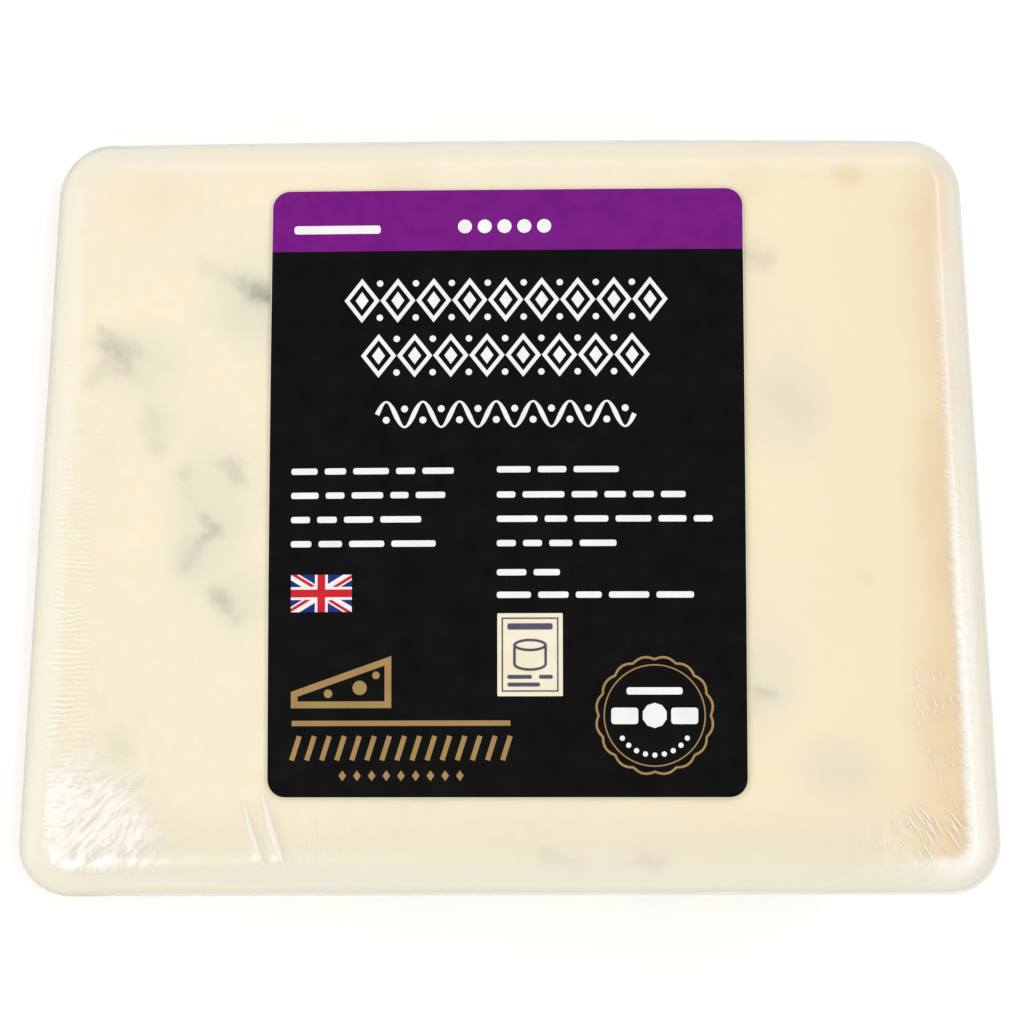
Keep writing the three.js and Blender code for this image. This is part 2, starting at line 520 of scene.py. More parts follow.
for at in film_readings:
    at.pull = Gathers(at)  # kept, because the wrinkles and the finish both need it
print("vertices in the crumpled corner:", sum(at.pull.low_tip > 0.1 for at in film_readings))


# %% Sculpt the film
def film_rise(place, at):
    """How far the film's wrinkles lift a place off the smooth skin. The heights are in mm."""
    pull, rim = at.pull, rim_place(at)
    rise = 0.0
    if pull.tip > 0:
        rise += pull.tip * 0.020 * ripple_at(at)
        rise += pull.tip * 0.025 * ridge(rim, apart=2.3, reach=8, seed=5.7)
    if pull.rind > 0:
        rise += pull.rind * 0.020 * ridge(rim_place(at, slant=0.5), apart=0.9, reach=2, seed=61.0)
    if pull.low_tip > 0:
        rise += pull.low_tip * 0.026 * scratch(at, lean=52, apart=1.2, reach=3.6, seed=11.3)
        rise += pull.low_tip * 0.018 * scratch(at, lean=38, apart=0.8, reach=2.2, seed=17.3)
    if pull.low_rind > 0:
        rise += pull.low_rind * 0.050 * scratch(at, lean=-56, apart=1.3, reach=4.0, seed=23.9)
    if pull.foot > 0:
        rise += pull.foot * 0.030 * ridge(rim, apart=1.6, reach=6, seed=41.0)
    if pull.wall > 0:
        rise += pull.wall * 0.090 * ridge(rim, apart=2.4, reach=12, seed=47.0)
        rise *= smooth_step(0.3, 2, place.z / MM)  # nothing sticks out under the pack
    if at.share > 0.9:
        rise += 0.12 * pleat_at(at.out, at.y)
    return rise * MM


move_along_normals(film, film_readings, film_rise)
print("film sculpted, lowest point, mm:", round(min(vertex.co.z for vertex in film.data.vertices) / MM, 4))

# %% [markdown]
# ## What the film's finish needs to know
#
# The film is clear where it lies on the cheese and turns milky where it gathers: in each tiny fold, in the
# ripples, and most of all along the rind's shoulder. Much of that white is painted highlight, standing in
# for
# the glints on the wrinkles: the line along the rind's shoulder, the crests of the ripples, the crumpled
# corners and the pleats. Those places follow the rim, so we store them on the mesh: how milky the film is,
# with those painted highlights, how crumpled, and the place on the rim's cylinder, which the shader needs to
# draw the finest creases along the columns.

# %% How milky the film is, with its painted highlights
WALL_MILK = 0.12
EDGE_MILK = 0.35  # more, where the upper shoulder turns down into the wall
# a painted highlight: white milk for the bright line along the rind's shoulder
RIND_LINE_HIGHLIGHT = 0.92  # of the line along the rind's shoulder
MOST_MILK = 0.96
HAZE = (
    # middle, radius in mm, strength
    ((36.5, -35.5), 7, 0.14),
    ((-41.5, -12.5), 5.5, 0.12),
    ((43.5, -19.5), 3.5, 0.12),
)


def spots_at(at, spots):
    """The strength of some round spots of the face, all together."""
    return sum(strength * near(at, middle, radius) for middle, radius, strength in spots)


def rind_highlight_at(at):
    """The painted highlight along the rind's shoulder, from 0 to 1, with an inner edge like a comb."""
    rim = rim_place(at)
    comb = 0.3 * noise.noise(rim / (0.5 * MM)) + 0.1 * noise.noise(rim / (5 * MM))
    line = smooth_step(4.5, 3.3, at.depth / MM + comb) * smooth_step(0.5, 2.2, at.depth / MM)
    line *= smooth_step(38, 47, at.out / MM) * smooth_step(33, 22, at.y / MM)
    return line * (0.55 + 0.45 * smooth_step(16, -12, at.y / MM))


def milk_and_glint_at(at):
    """How milky the film is, from 0 to 1, with painted highlights on the rind's line, the ripples, the
    crumples and the pleats.
    """
    pull, depth, drop = at.pull, at.depth / MM, at.drop / MM
    if at.share < 0.5 and drop > 8:
        return WALL_MILK
    milk_and_glint = WALL_MILK * smooth_step(4, 0, depth)
    milk_and_glint += EDGE_MILK * smooth_step(0.6, 0, depth) * smooth_step(8, 4, drop)
    milk_and_glint += (RIND_LINE_HIGHLIGHT - milk_and_glint) * rind_highlight_at(at)
    if pull.tip > 0:
        # painted highlights on the crests of the ripples
        milk_and_glint += pull.tip * (0.15 + 0.70 * max(0, ripple_at(at)) ** 1.5)
    # the crumpled corner by the tip: a painted glare in white lines
    if pull.low_tip > 0:
        lines = 0.5 * scratch(at, lean=54, apart=0.8, reach=3.0, seed=31.0)
        lines += 0.5 * scratch(at, lean=38, apart=0.7, reach=2.4, seed=37.0)
        milk_and_glint += pull.low_tip * max(0, 0.66 + 0.46 * lines)
    # the crumpled corner by the rind: painted highlights in white lines
    if pull.low_rind > 0:
        milk_and_glint += pull.low_rind * max(0, 0.24 * scratch(at, lean=-56, apart=0.9, reach=3.0, seed=33.0))
    # haze spots and a little more milk along the top; on the pleats, a painted highlight
    milk_and_glint += spots_at(at, HAZE) + 0.10 * smooth_step(30, 38, at.y / MM) + 0.5 * pleat_at(at.out, at.y)
    return max(0.0, min(MOST_MILK, milk_and_glint))


milk_and_glint = [milk_and_glint_at(at) for at in film_readings]
print("the film is milky all over by", round(sum(milk_and_glint) / len(milk_and_glint), 2), "and at most by", max(milk_and_glint))


# %% Store it on the mesh
def add_attribute(piece, name, values):
    """Stores one number or one vector for each vertex."""
    of_vectors = isinstance(values[0], Vector)
    attribute = piece.data.attributes.new(name, "FLOAT_VECTOR" if of_vectors else "FLOAT", "POINT")
    if of_vectors:
        attribute.data.foreach_set("vector", [number for value in values for number in value])
    else:
        attribute.data.foreach_set("value", values)


def crumple_at(pull):
    """How strongly the film's finest creases show as painted highlights, from 0 to 1."""
    share = 0.5 * pull.tip + 0.3 * (pull.low_tip + pull.low_rind + pull.rind) + pull.foot + 0.6 * pull.wall
    return min(1.0, share)


add_attribute(film, "milk_and_glint", milk_and_glint)
add_attribute(film, "crumpled", [crumple_at(at.pull) for at in film_readings])
add_attribute(film, "rim_place", [rim_place(at) for at in film_readings])
print("film attributes:", film.data.attributes.keys())

# %% [markdown]
# ## Tiny folds
#
# In the corners, and all along the rind's shoulder, the film is pinched into tiny sharp folds a tenth or
# two of a millimetre wide. The film's mesh is too coarse for those, so they are a piece of their own: a
# slim domed grid for each fold, laid on the smooth film. Most lie in fields with a common lean, so we say
# how many there are, where, and which way they lean, and a seeded draw does the rest. The pleats get a fold
# each, and so does each tooth of the comb along the rind's shoulder. Their near-white milk is partly a
# painted highlight, standing in for the glints on the folds.

# %% A place on the smooth film
def film_place(x, y, lift):
    """A place on the smooth film over a cut face, or so high above it, in the frame. Not for the corners."""
    across, up = x / HALF_LENGTH, max(0, y / HALF_HEIGHT)
    plan_x = x / (1 - TAPER * y / HALF_HEIGHT)
    plan_y = y - TOP_BOW * (1 - across**2) * up
    depth = max(0, min(EDGE_RADIUS, HALF_LENGTH - abs(plan_x), HALF_HEIGHT - abs(plan_y)))
    thickness = (MID_RADIUS + x) * WEDGE_ANGLE
    rounded_off = 1 - math.sqrt(1 - (1 - depth / EDGE_RADIUS) ** 2)
    drop = rounded_off * min(EDGE_RADIUS, thickness / 2)
    place = in_wheel(MID_RADIUS + x, y, 1 - drop / thickness)
    return place + UPPER_NORMAL * (crown_at(plan_x, plan_y) + lift) + TO_FRAME


print("the middle of the face, mm:", [round(c / MM, 1) for c in film_place(0, 0, 0)])

# %% One fold
FOLD_LIFT = 0.01  # clear of the film, in mm
FOLD_STEP = 0.3  # between the edges along a fold, in mm


def move_selected(place_at):
    """In edit mode, moves each selected vertex to place_at(where it is)."""
    mesh = bmesh.from_edit_mesh(bpy.context.object.data)
    for vertex in mesh.verts:
        if vertex.select:
            vertex.co = place_at(vertex.co)
    bmesh.update_edit_mesh(bpy.context.object.data)


def add_fold(start, end, bow, width, height):
    """Adds one fold to the piece that is open: a slim grid, domed across and narrow at both ends."""
    start, run = Vector(start), Vector(end) - Vector(start)
    side = Vector((-run.y, run.x)).normalized()
    steps = max(4, round(run.length / FOLD_STEP))

    def on_fold(spot):
        share, aside = (spot.x + 1) / 2, spot.y
        swell = 0.05 + 0.95 * math.sin(math.pi * share) ** 0.7
        offset = bow * math.sin(math.pi * share) + aside * width / 2 * swell
        place = (start + run * share + side * offset) * MM
        return film_place(place.x, place.y, (FOLD_LIFT + height * swell * (1 - aside**2)) * MM)

    bpy.ops.mesh.select_all(action="DESELECT")
    bpy.ops.mesh.primitive_grid_add(x_subdivisions=steps, y_subdivisions=2, size=2, location=(0, 0, 0))
    move_selected(on_fold)


def open_empty(name):
    """Starts a piece with nothing in it, in edit mode."""
    bpy.ops.mesh.primitive_plane_add(size=1 * MM, location=(0, 0, 0))
    piece = start_piece(name)
    bpy.ops.mesh.delete(type="VERT")
    return piece


folds = open_empty("film_folds")
print("empty and open:", folds.name)

# %% All the folds
FOLD_FIELDS = (
    # how many, left and right end, lower and upper end, lean in degrees and its spread,
    # shortest, longest and width in mm
    (17, (41.0, 46.2), (-36.4, -31.6), -58, 7, 1.5, 3.6, 0.16),
    (12, (41.6, 46.0), (-22.5, -17.0), -76, 10, 0.7, 1.6, 0.12),
    (14, (42.2, 46.4), (-31.0, -25.0), -68, 14, 0.5, 1.3, 0.10),
    (16, (35.0, 41.0), (-36.6, -32.5), -52, 20, 0.4, 0.9, 0.09),
    (60, (-47.2, -38.6), (-37.2, -28.0), 52, 16, 0.8, 2.6, 0.11),
    (14, (-40.5, -36.0), (-37.6, -34.0), 62, 10, 0.8, 2.2, 0.10),
    (3, (30.0, 35.0), (35.2, 36.6), 68, 8, 0.9, 1.5, 0.14),
)
# In mm
FOLD_HEIGHT = 0.05
FOLD_BOW = 0.12  # at most, to either side
PLEAT_FOLD_HEIGHT = 0.09
PLEAT_FOLD_SHARE = 0.85  # of the pleat's width
COMB = (-33.5, 20.0)  # lower and upper end
COMB_STEP = 0.43
TOOTH_FROM_RIM, TOOTH_LENGTH = (3.2, 4.2), (0.35, 0.9)
TOOTH_FALL = 0.45  # for each mm along it
TOOTH_SHAPE = (0.03, 0.11, 0.03)  # bow, width, height
FOLD_THICKNESS = 0.02 * MM
# near-white: partly a painted highlight on the folds
FOLD_MILK_AND_GLINT = 0.85

chance = random.Random(11)
for count, across, up, lean, spread, shortest, longest, width in FOLD_FIELDS:
    for _ in range(count):
        length = chance.uniform(shortest, longest)
        angle = math.radians(lean + chance.uniform(-spread, spread))
        reach = Vector((math.cos(angle), math.sin(angle))) * length / 2
        middle = Vector((chance.uniform(*across), chance.uniform(*up)))
        add_fold(middle - reach, middle + reach, chance.uniform(-FOLD_BOW, FOLD_BOW), width, FOLD_HEIGHT)
for upper, lower, bow, width in PLEATS:
    add_fold(upper, lower, bow, PLEAT_FOLD_SHARE * width, PLEAT_FOLD_HEIGHT)
lowest, y = COMB
while y > lowest:
    rim = HALF_LENGTH / MM * (1 - TAPER * y / (HALF_HEIGHT / MM))
    inner, length = rim - chance.uniform(*TOOTH_FROM_RIM), chance.uniform(*TOOTH_LENGTH)
    add_fold((inner, y), (inner + length, y - TOOTH_FALL * length), *TOOTH_SHAPE)
    y -= COMB_STEP * chance.uniform(0.7, 1.5)
bpy.ops.object.mode_set(mode="OBJECT")
apply_modifier(folds, "SOLIDIFY", thickness=FOLD_THICKNESS, offset=-1)
start_piece("film_folds")
bpy.ops.mesh.normals_make_consistent(inside=False)
bpy.ops.object.mode_set(mode="OBJECT")
bpy.ops.object.shade_smooth_by_angle(angle=math.radians(50))
add_attribute(folds, "milk_and_glint", [FOLD_MILK_AND_GLINT] * len(folds.data.vertices))
print("folds:", len(folds.data.polygons), "faces")

# %% [markdown]
# ## The cheese
#
# The cheese fills the film, so it is the same pillow, a little smaller all over. It is pressed curd: its
# surface is soft and a bit uneven, never flat. The curved wall at the wide end is the wheel's rind, a dry
# crust with pits and low ridges, and it gets a coarser relief. Round the upper shoulder the film stands a
# little off and a haze of moisture makes the cheese look paler.

# %% The cheese
CHEESE_GAP = 0.16 * MM
CHEESE_COLUMNS = 620
CHEESE_STEPS = dict(
    under_middle=8, under_band=6, lower_edge=5, wall=24, upper_edge=8, upper_band=24, upper_middle=56
)
UNEVENNESS = 0.08 * MM
CRUST_DEPTH = 0.5 * MM
cheese = turn_pillow("cheese", CHEESE_COLUMNS, CHEESE_STEPS)
cheese_readings = fold_into_wedge(cheese)
set_in_frame(cheese)


def pale_at(at):
    """How pale the haze is, from 0 to 1: strongest on the upper shoulder, gone further down the walls."""
    if at.share <= 0.3 and at.drop >= 3 * MM:
        return 0.0
    out = at.out / MM
    soft = 0.6 * noise.noise(rim_place(at) / (5 * MM))
    depth, drop = at.depth / MM + soft, at.drop / MM + 3 * soft
    strength = 0.78 + 0.17 * smooth_step(38, 47, out) + 0.12 * smooth_step(-40, -48, out)
    wide, narrow = smooth_step(6.0, 0.8, depth), smooth_step(3.8, 0.8, depth)
    return strength * (wide + narrow) / 2 * smooth_step(13, 5, drop)


def crust_at(at):
    """1 on the rind's wall, 0 elsewhere, with a ragged upper edge."""
    ragged = 3 * noise.noise(rim_place(at) / (5 * MM))
    from_rim = (HALF_LENGTH - at.x) / MM
    return smooth_step(3, 0.5, from_rim) * smooth_step(4, 8, at.drop / MM + ragged)


def cheese_rise(place, at):
    """How far the cheese's surface is from the smooth skin: always a little inside it."""
    uneven = UNEVENNESS * (noise.noise(place / (7 * MM)) - 1)
    pits = abs(noise.noise(place / (4.5 * MM))) + 0.5 * abs(noise.noise(place / (1.9 * MM)))
    return uneven - CHEESE_GAP - CRUST_DEPTH * crust_at(at) * max(0, 0.8 - 2 * pits)


move_along_normals(cheese, cheese_readings, cheese_rise)
print("cheese:", len(cheese.data.polygons), "faces")

# %% [markdown]
# ## Blue mould
#
# The maker pierces the young cheese with needles, and blue mould grows wherever air gets in: in streaks
# along the needles' paths and in specks in the gaps between the curds. Each streak here runs between two
# points of the shown face, with frayed edges from a noise. Round the mould the paste turns a pale
# grey-green. Three kinds of stain are worked out for every vertex and stored for the shader: vein, cast and
# rust, where cast and rust also carry a painted shade along the foot. The other faces get veins of the same
# kind, but from a pattern in the shader, so the mesh also says
# which face is the shown one, where the crust is, and how pale the haze.

# %% Where the mould grew
MOULD = (
    # from, to, width in mm, how blue
    ((-33.1, 26.5), (-30.2, 25.0), 0.9, 0.16),  # a streak that runs in under the label
    ((-30.2, 25.0), (-28.1, 24.0), 0.9, 0.30),
    ((-28.3, 24.2), (-26.8, 23.0), 0.9, 0.62),
    ((-27.0, 23.3), (-24.2, 22.1), 1.1, 0.95),
    ((-43.3, 19.2), (-42.1, 17.6), 0.7, 0.42),  # a star-shaped smudge near the tip
    ((-42.6, 17.9), (-41.2, 16.6), 1.5, 0.60),
    ((-41.2, 17.0), (-39.4, 16.9), 0.9, 0.36),
    ((-41.0, 16.7), (-40.3, 15.4), 0.9, 0.36),
    ((-41.8, 16.8), (-42.9, 15.8), 0.9, 0.36),
    ((-42.9, 15.8), (-44.6, 13.9), 0.9, 0.25),
    ((-39.9, 15.2), (-38.6, 13.1), 0.8, 0.14),  # a trail of specks from it
    ((-38.6, 13.1), (-38.0, 10.9), 0.8, 0.11),
    ((-38.0, 10.9), (-37.7, 8.8), 0.9, 0.18),
    ((-37.2, 7.0), (-36.8, 6.1), 0.9, 0.22),
    ((-34.7, 4.4), (-34.3, 3.8), 0.8, 0.34),
    ((-34.1, 2.8), (-32.3, -0.4), 0.5, 0.12),
    ((-32.3, -0.5), (-31.5, -1.3), 0.5, 0.45),  # a hooked vein
    ((-31.5, -1.3), (-30.6, -2.0), 0.6, 0.65),
    ((-31.1, -1.9), (-31.8, -2.7), 0.6, 0.75),
    ((-31.7, -2.7), (-32.8, -4.1), 0.7, 0.52),
    ((-32.8, -4.1), (-34.3, -6.1), 0.9, 0.30),
    ((-29.8, 5.1), (-28.9, 4.8), 0.7, 0.40),  # specks beside the label
    ((-28.8, 4.7), (-28.6, 3.3), 0.7, 0.40),
    ((-31.2, -8.4), (-30.4, -9.2), 0.7, 0.55),
    ((-30.3, -9.2), (-29.5, -10.2), 0.9, 0.60),
    ((-29.5, -10.2), (-28.6, -11.4), 0.8, 0.28),
    ((-40.9, -24.3), (-40.6, -25.2), 1.4, 0.22),
    ((24.8, 27.0), (26.6, 26.1), 1.4, 0.34),  # the other side of the label
    ((28.8, 12.0), (30.6, 10.0), 2.2, 0.12),
    ((26.2, -19.1), (27.2, -19.6), 0.8, 0.45),
    ((3.9, -36.2), (6.9, -37.2), 1.0, 0.24),  # the foot
    ((14.0, -36.6), (15.6, -36.9), 0.9, 0.38),
    ((34.0, -27.4), (36.2, -28.1), 3.0, 0.10),
    ((36.9, -7.0), (37.1, -7.2), 0.6, 0.14),
)
CASTS = (
    # middle, reach along and up in mm, strength
    ((-31.5, -1), (7.5, 15), 0.85),
    ((-33.0, -4.5), (4.5, 6), 1.1),
    ((-28.5, -9.5), (5, 7), 0.8),
    ((-27, 22), (8, 7), 0.9),
    ((-39, 16), (8, 6), 0.75),
    ((-37, 9), (4, 6), 0.6),
    ((29, 11), (7, 9), 0.55),
    ((27, -18), (5, 8), 0.6),
    ((10, -37), (13, 4), 0.7),
    ((34, -27), (7, 5), 0.4),
)
RUST = (
    # middle, radius in mm, strength
    ((36.0, 35.5), 2.08, 0.4),
    ((-43.7, 19.5), 0.56, 0.4),
    ((43.6, -32.4), 7.36, 0.14),
    ((-39.0, 33.8), 5.44, 0.09),
    ((-34.5, 34.4), 4.16, 0.07),
    ((-11.5, 36), 4.16, 0.14),
    ((25.5, 35.5), 3.84, 0.12),
)
print("streaks:", len(MOULD), "casts:", len(CASTS), "rust spots:", len(RUST))

# %% Paint the mould
LABEL_COVER = (24.5 * MM, -29.5 * MM, 33.5 * MM)  # half length, lowest and highest place that it hides


def fray(place, seed):
    """A push in the plane, by up to about 1 either way, that changes from place to place."""
    return Vector((noise.noise(place), noise.noise(place + Vector((seed, seed, seed)))))


def mould_at(x, y, place):
    """How blue the shown face is at a place, from the streaks above with frayed edges."""
    here = Vector((x, y)) / MM + 0.8 * fray(place / (1.7 * MM), 9) + 0.3 * fray(place / (0.7 * MM), 5)
    bluest = 0.0
    for start, end, width, strength in MOULD:
        first, run = Vector(start), Vector(end) - Vector(start)
        share = max(0, min(1, (here - first).dot(run) / run.length_squared))
        away = (here - first - run * share).length / width
        bluest = max(bluest, strength * math.exp(-(away**2)))
    return bluest


def cast_at(x, y):
    """The pale grey-green cast around the veins."""
    cast = 0.0
    for middle, reach, strength in CASTS:
        away = math.hypot((x / MM - middle[0]) / reach[0], (y / MM - middle[1]) / reach[1])
        cast = max(cast, strength * smooth_step(1.0, 0.15, away))
    return cast


stains = []
for vertex, at in zip(cheese.data.vertices, cheese_readings):
    hidden = abs(at.out) < LABEL_COVER[0] and LABEL_COVER[1] < at.y < LABEL_COVER[2]
    if at.share <= 0.9 or hidden:
        stains.append((0.0, 0.0, 0.0))
        continue
    # painted shade: towards the foot, where the face turns down from the light, the cast and the rust darken
    # and yellow the paste
    foot = smooth_step(-29 * MM, -36 * MM, at.y) * smooth_step(46 * MM, 36 * MM, at.out)
    cast = max(0.6 * foot, cast_at(at.out, at.y))
    stains.append((mould_at(at.out, at.y, vertex.co), cast, spots_at(at, RUST) + 0.12 * foot))
for name, values in zip(("vein", "cast", "rust"), zip(*stains)):
    add_attribute(cheese, name, values)
add_attribute(cheese, "shown", [smooth_step(8 * MM, 4.5 * MM, at.drop) for at in cheese_readings])
add_attribute(cheese, "crust", [crust_at(at) for at in cheese_readings])
add_attribute(cheese, "pale", [pale_at(at) for at in cheese_readings])
print("vertices with blue mould:", sum(vein > 0.1 for vein, _, _ in stains))

# %% [markdown]
# ## The cheese's finish
#
# Ripe blue cheese is a fatty, close paste: waxy, half matt and pale. Its colour is never even: patches of
# cream and butter a centimetre or two wide, a fine curd grain, and a tan tone that deepens towards the
# rind. All of it is read from Object coordinates, in millimetres of the real thing, so it runs on round the
# corners. One image could not do that without a seam. We build the colour up in four steps, each a small
# function.

# %% The paste
CREAM_PATCH, TAN_FRONT, CURD_GRAIN = 14 * MM, 8 * MM, 1.6 * MM
WARMER_FROM, WARMER_TO = 70 * MM, 108 * MM  # from the wheel's axis
BROWNER_FROM, BROWNER_TO = 103 * MM, 110 * MM


def new_material(name):
    """A material with an empty node tree."""
    material = bpy.data.materials.new(name)
    material.use_nodes = True
    material.node_tree.nodes.clear()
    return material, material.node_tree


def mottled_paste(tree, place, grain):
    """Cream and butter in patches a centimetre or two wide, and a fine curd grain."""
    patches = add_node(tree, "TexNoise", {"Vector": place, "Scale": 1 / CREAM_PATCH, "Detail": 2.0})
    buttery = add_node(tree, "MapRange", {"Value": patches, "From Min": 0.36, "From Max": 0.64})
    colours = {"Factor": buttery, "A": hex_colour("#E9DDBF"), "B": hex_colour("#F0E2C0")}
    paste = add_node(tree, "Mix", colours, data_type="RGBA")
    grainy = add_node(tree, "MapRange", {"Value": grain, "From Min": 0.3, "From Max": 0.7, "To Max": 0.35})
    colours = {"Factor": grainy, "A": paste, "B": hex_colour("#F4EBD3")}
    return add_node(tree, "Mix", colours, data_type="RGBA")


def tanned(tree, place, paste):
    """The tan that deepens with the distance from the wheel's axis, with an uneven front."""
    centred = add_node(tree, "VectorMath", {0: place, 1: (TO_FRAME.x, 0, TO_FRAME.z)}, operation="SUBTRACT")
    flat = add_node(tree, "VectorMath", {0: centred, 1: (1, 0, 1)}, operation="MULTIPLY")
    distance = add_node(tree, "VectorMath", {0: flat}, operation="LENGTH")
    wobble = add_node(tree, "TexNoise", {"Vector": place, "Scale": 1 / TAN_FRONT, "Detail": 2.0})
    moved = add_node(tree, "Math", {0: wobble, 1: 7 * MM, 2: distance}, operation="MULTIPLY_ADD")
    warmer = add_node(tree, "MapRange", {"Value": moved, "From Min": WARMER_FROM, "From Max": WARMER_TO})
    colours = {"Factor": warmer, "A": paste, "B": hex_colour("#EBD9B5")}
    warmed = add_node(tree, "Mix", colours, data_type="RGBA")
    ramp = {"Value": moved, "From Min": BROWNER_FROM, "From Max": BROWNER_TO}
    browner = add_node(tree, "MapRange", ramp, interpolation_type="SMOOTHSTEP")
    colours = {"Factor": browner, "A": warmed, "B": hex_colour("#E1C498")}
    return add_node(tree, "Mix", colours, data_type="RGBA")


# %% Mould and stains
VEIN_CELL, VEIN_WARP, VEIN_POCKET, MOULD_GRAIN = 13 * MM, 6 * MM, 10 * MM, 0.8 * MM
VEIN_REACH, CAST_REACH = 0.07, 0.3  # from a cell's edge, as shares of the cell


def hidden_mould(tree, place, shown):
    """Vein and cast on the other faces: the edges of warped cells, kept in pockets."""
    warp = add_node(tree, "TexNoise", {"Vector": place, "Scale": 1 / VEIN_WARP, "Detail": 2.0}, "Color")
    bending = {0: warp, 1: (VEIN_WARP, VEIN_WARP, VEIN_WARP), 2: place}
    bent = add_node(tree, "VectorMath", bending, operation="MULTIPLY_ADD")
    cells = {"Vector": bent, "Scale": 1 / VEIN_CELL}
    edges = add_node(tree, "TexVoronoi", cells, feature="DISTANCE_TO_EDGE")
    pockets = add_node(tree, "TexNoise", {"Vector": place, "Scale": 1 / VEIN_POCKET, "Detail": 1.0})
    pocket = add_node(tree, "MapRange", {"Value": pockets, "From Min": 0.46, "From Max": 0.62})
    unseen = add_node(tree, "Math", {0: 1.0, 1: shown}, operation="SUBTRACT")
    pocket = add_node(tree, "Math", {0: pocket, 1: unseen}, operation="MULTIPLY")
    stains = []
    for reach in (VEIN_REACH, CAST_REACH):
        ramp = {"Value": edges, "From Min": reach, "From Max": 0.0}
        stain = add_node(tree, "MapRange", ramp, interpolation_type="SMOOTHSTEP")
        stains.append(add_node(tree, "Math", {0: stain, 1: pocket}, operation="MULTIPLY"))
    return stains


def stained(tree, place, paste, stored):
    """Rust, grey-green cast and blue veins, the veins broken up by the mould's own grain; the stored cast
    and rust also carry a painted shade at the foot.
    """
    colours = {"Factor": stored["rust"], "A": paste, "B": hex_colour("#E3B570")}
    rusted = add_node(tree, "Mix", colours, data_type="RGBA")
    hidden_vein, hidden_cast = hidden_mould(tree, place, stored["shown"])
    cast = add_node(tree, "Math", {0: stored["cast"], 1: hidden_cast}, operation="MAXIMUM")
    vein = add_node(tree, "Math", {0: hidden_vein, 1: 0.8, 2: stored["vein"]}, operation="MULTIPLY_ADD")
    specks = add_node(tree, "TexNoise", {"Vector": place, "Scale": 1 / MOULD_GRAIN, "Detail": 2.0})
    ramp = {"Value": specks, "From Min": 0.3, "From Max": 0.7, "To Min": 0.55, "To Max": 0.85}
    speck = add_node(tree, "MapRange", ramp)
    broken = add_node(tree, "Math", {0: vein, 1: speck}, operation="MULTIPLY", use_clamp=True)
    colours = {"Factor": cast, "A": rusted, "B": hex_colour("#DDD7BE")}
    greened = add_node(tree, "Mix", colours, data_type="RGBA")
    colours = {"Factor": broken, "A": greened, "B": hex_colour("#83887F")}
    return add_node(tree, "Mix", colours, data_type="RGBA")


# %% Blue cheese
CRUST_BLOOM, CRUST_PIT, RELIEF = 5 * MM, 1.3 * MM, 0.1 * MM


def crust(tree, place, pitting):
    """The rind: a brown-grey crust with a pale bloom in patches and dark pits."""
    bloom = add_node(tree, "TexNoise", {"Vector": place, "Scale": 1 / CRUST_BLOOM, "Detail": 3.0})
    bloomy = add_node(tree, "MapRange", {"Value": bloom, "From Min": 0.34, "From Max": 0.66})
    colours = {"Factor": bloomy, "A": hex_colour("#8E6C45"), "B": hex_colour("#D2C09E")}
    crusty = add_node(tree, "Mix", colours, data_type="RGBA")
    pitted = add_node(tree, "MapRange", {"Value": pitting, "From Min": 0.48, "From Max": 0.3, "To Max": 0.8})
    colours = {"Factor": pitted, "A": crusty, "B": hex_colour("#664D31")}
    return add_node(tree, "Mix", colours, data_type="RGBA")


def pressed_blue_curd():
    """Pressed curd: waxy and half matt, which gives a soft, fatty look with no hard shine."""
    material, tree = new_material("pressed_blue_curd")
    place = add_node(tree, "TexCoord", output="Object")
    names = ("vein", "cast", "rust", "shown", "crust", "pale")
    stored = {name: add_node(tree, "Attribute", output="Fac", attribute_name=name) for name in names}
    grain = add_node(tree, "TexNoise", {"Vector": place, "Scale": 1 / CURD_GRAIN, "Detail": 2.0})
    pitting = add_node(tree, "TexNoise", {"Vector": place, "Scale": 1 / CRUST_PIT, "Detail": 2.0})

    paste = tanned(tree, place, mottled_paste(tree, place, grain))
    colours = {"Factor": stored["crust"], "A": stained(tree, place, paste, stored)}
    bare = add_node(tree, "Mix", {**colours, "B": crust(tree, place, pitting)}, data_type="RGBA")
    colours = {"Factor": stored["pale"], "A": bare, "B": hex_colour("#E8E2D0")}
    colour = add_node(tree, "Mix", colours, data_type="RGBA")

    # the curd's grain is a faint relief, the crust's pits a stronger one
    pits = add_node(tree, "Math", {0: pitting, 1: stored["crust"]}, operation="MULTIPLY")
    relief = add_node(tree, "Math", {0: pits, 1: 3.0, 2: grain}, operation="MULTIPLY_ADD")
    normal = add_node(tree, "Bump", {"Height": relief, "Strength": 0.5, "Distance": RELIEF})
    curd = add_node(tree, "BsdfPrincipled", {"Base Color": colour, "Roughness": 0.5, "Normal": normal})
    add_node(tree, "OutputMaterial", {"Surface": curd})
    return material


cheese.data.materials.append(pressed_blue_curd())
print("nodes in the cheese's finish:", len(cheese.data.materials[0].node_tree.nodes))


# %% [markdown]
# ## The film's finish
#
# Clear film is hard to see but for two things: it shines, and it turns milky where it is folded. The shine
# is a gloss that grows towards grazing angles, as Fresnel's law says. A thin film reflects from both its
# faces, so the index is set a little above the plastic's own 1.5. The gloss works on the outside only: seen
# from inside, a closed skin would count as a solid block and swallow the light. The milky part is white and
# mostly throws light back, and lets a little of it through. Its white is partly painted highlight, on the
# creases and gathers, and it greys where it is seen edge on, a painted shade at the rim.

# %% Shrink film
CREASE_WIDTH = 0.55 * MM  # from one fine crease to the next
CREASE_REACH = 3.0 * MM
BOTH_FACES_IOR = 1.7


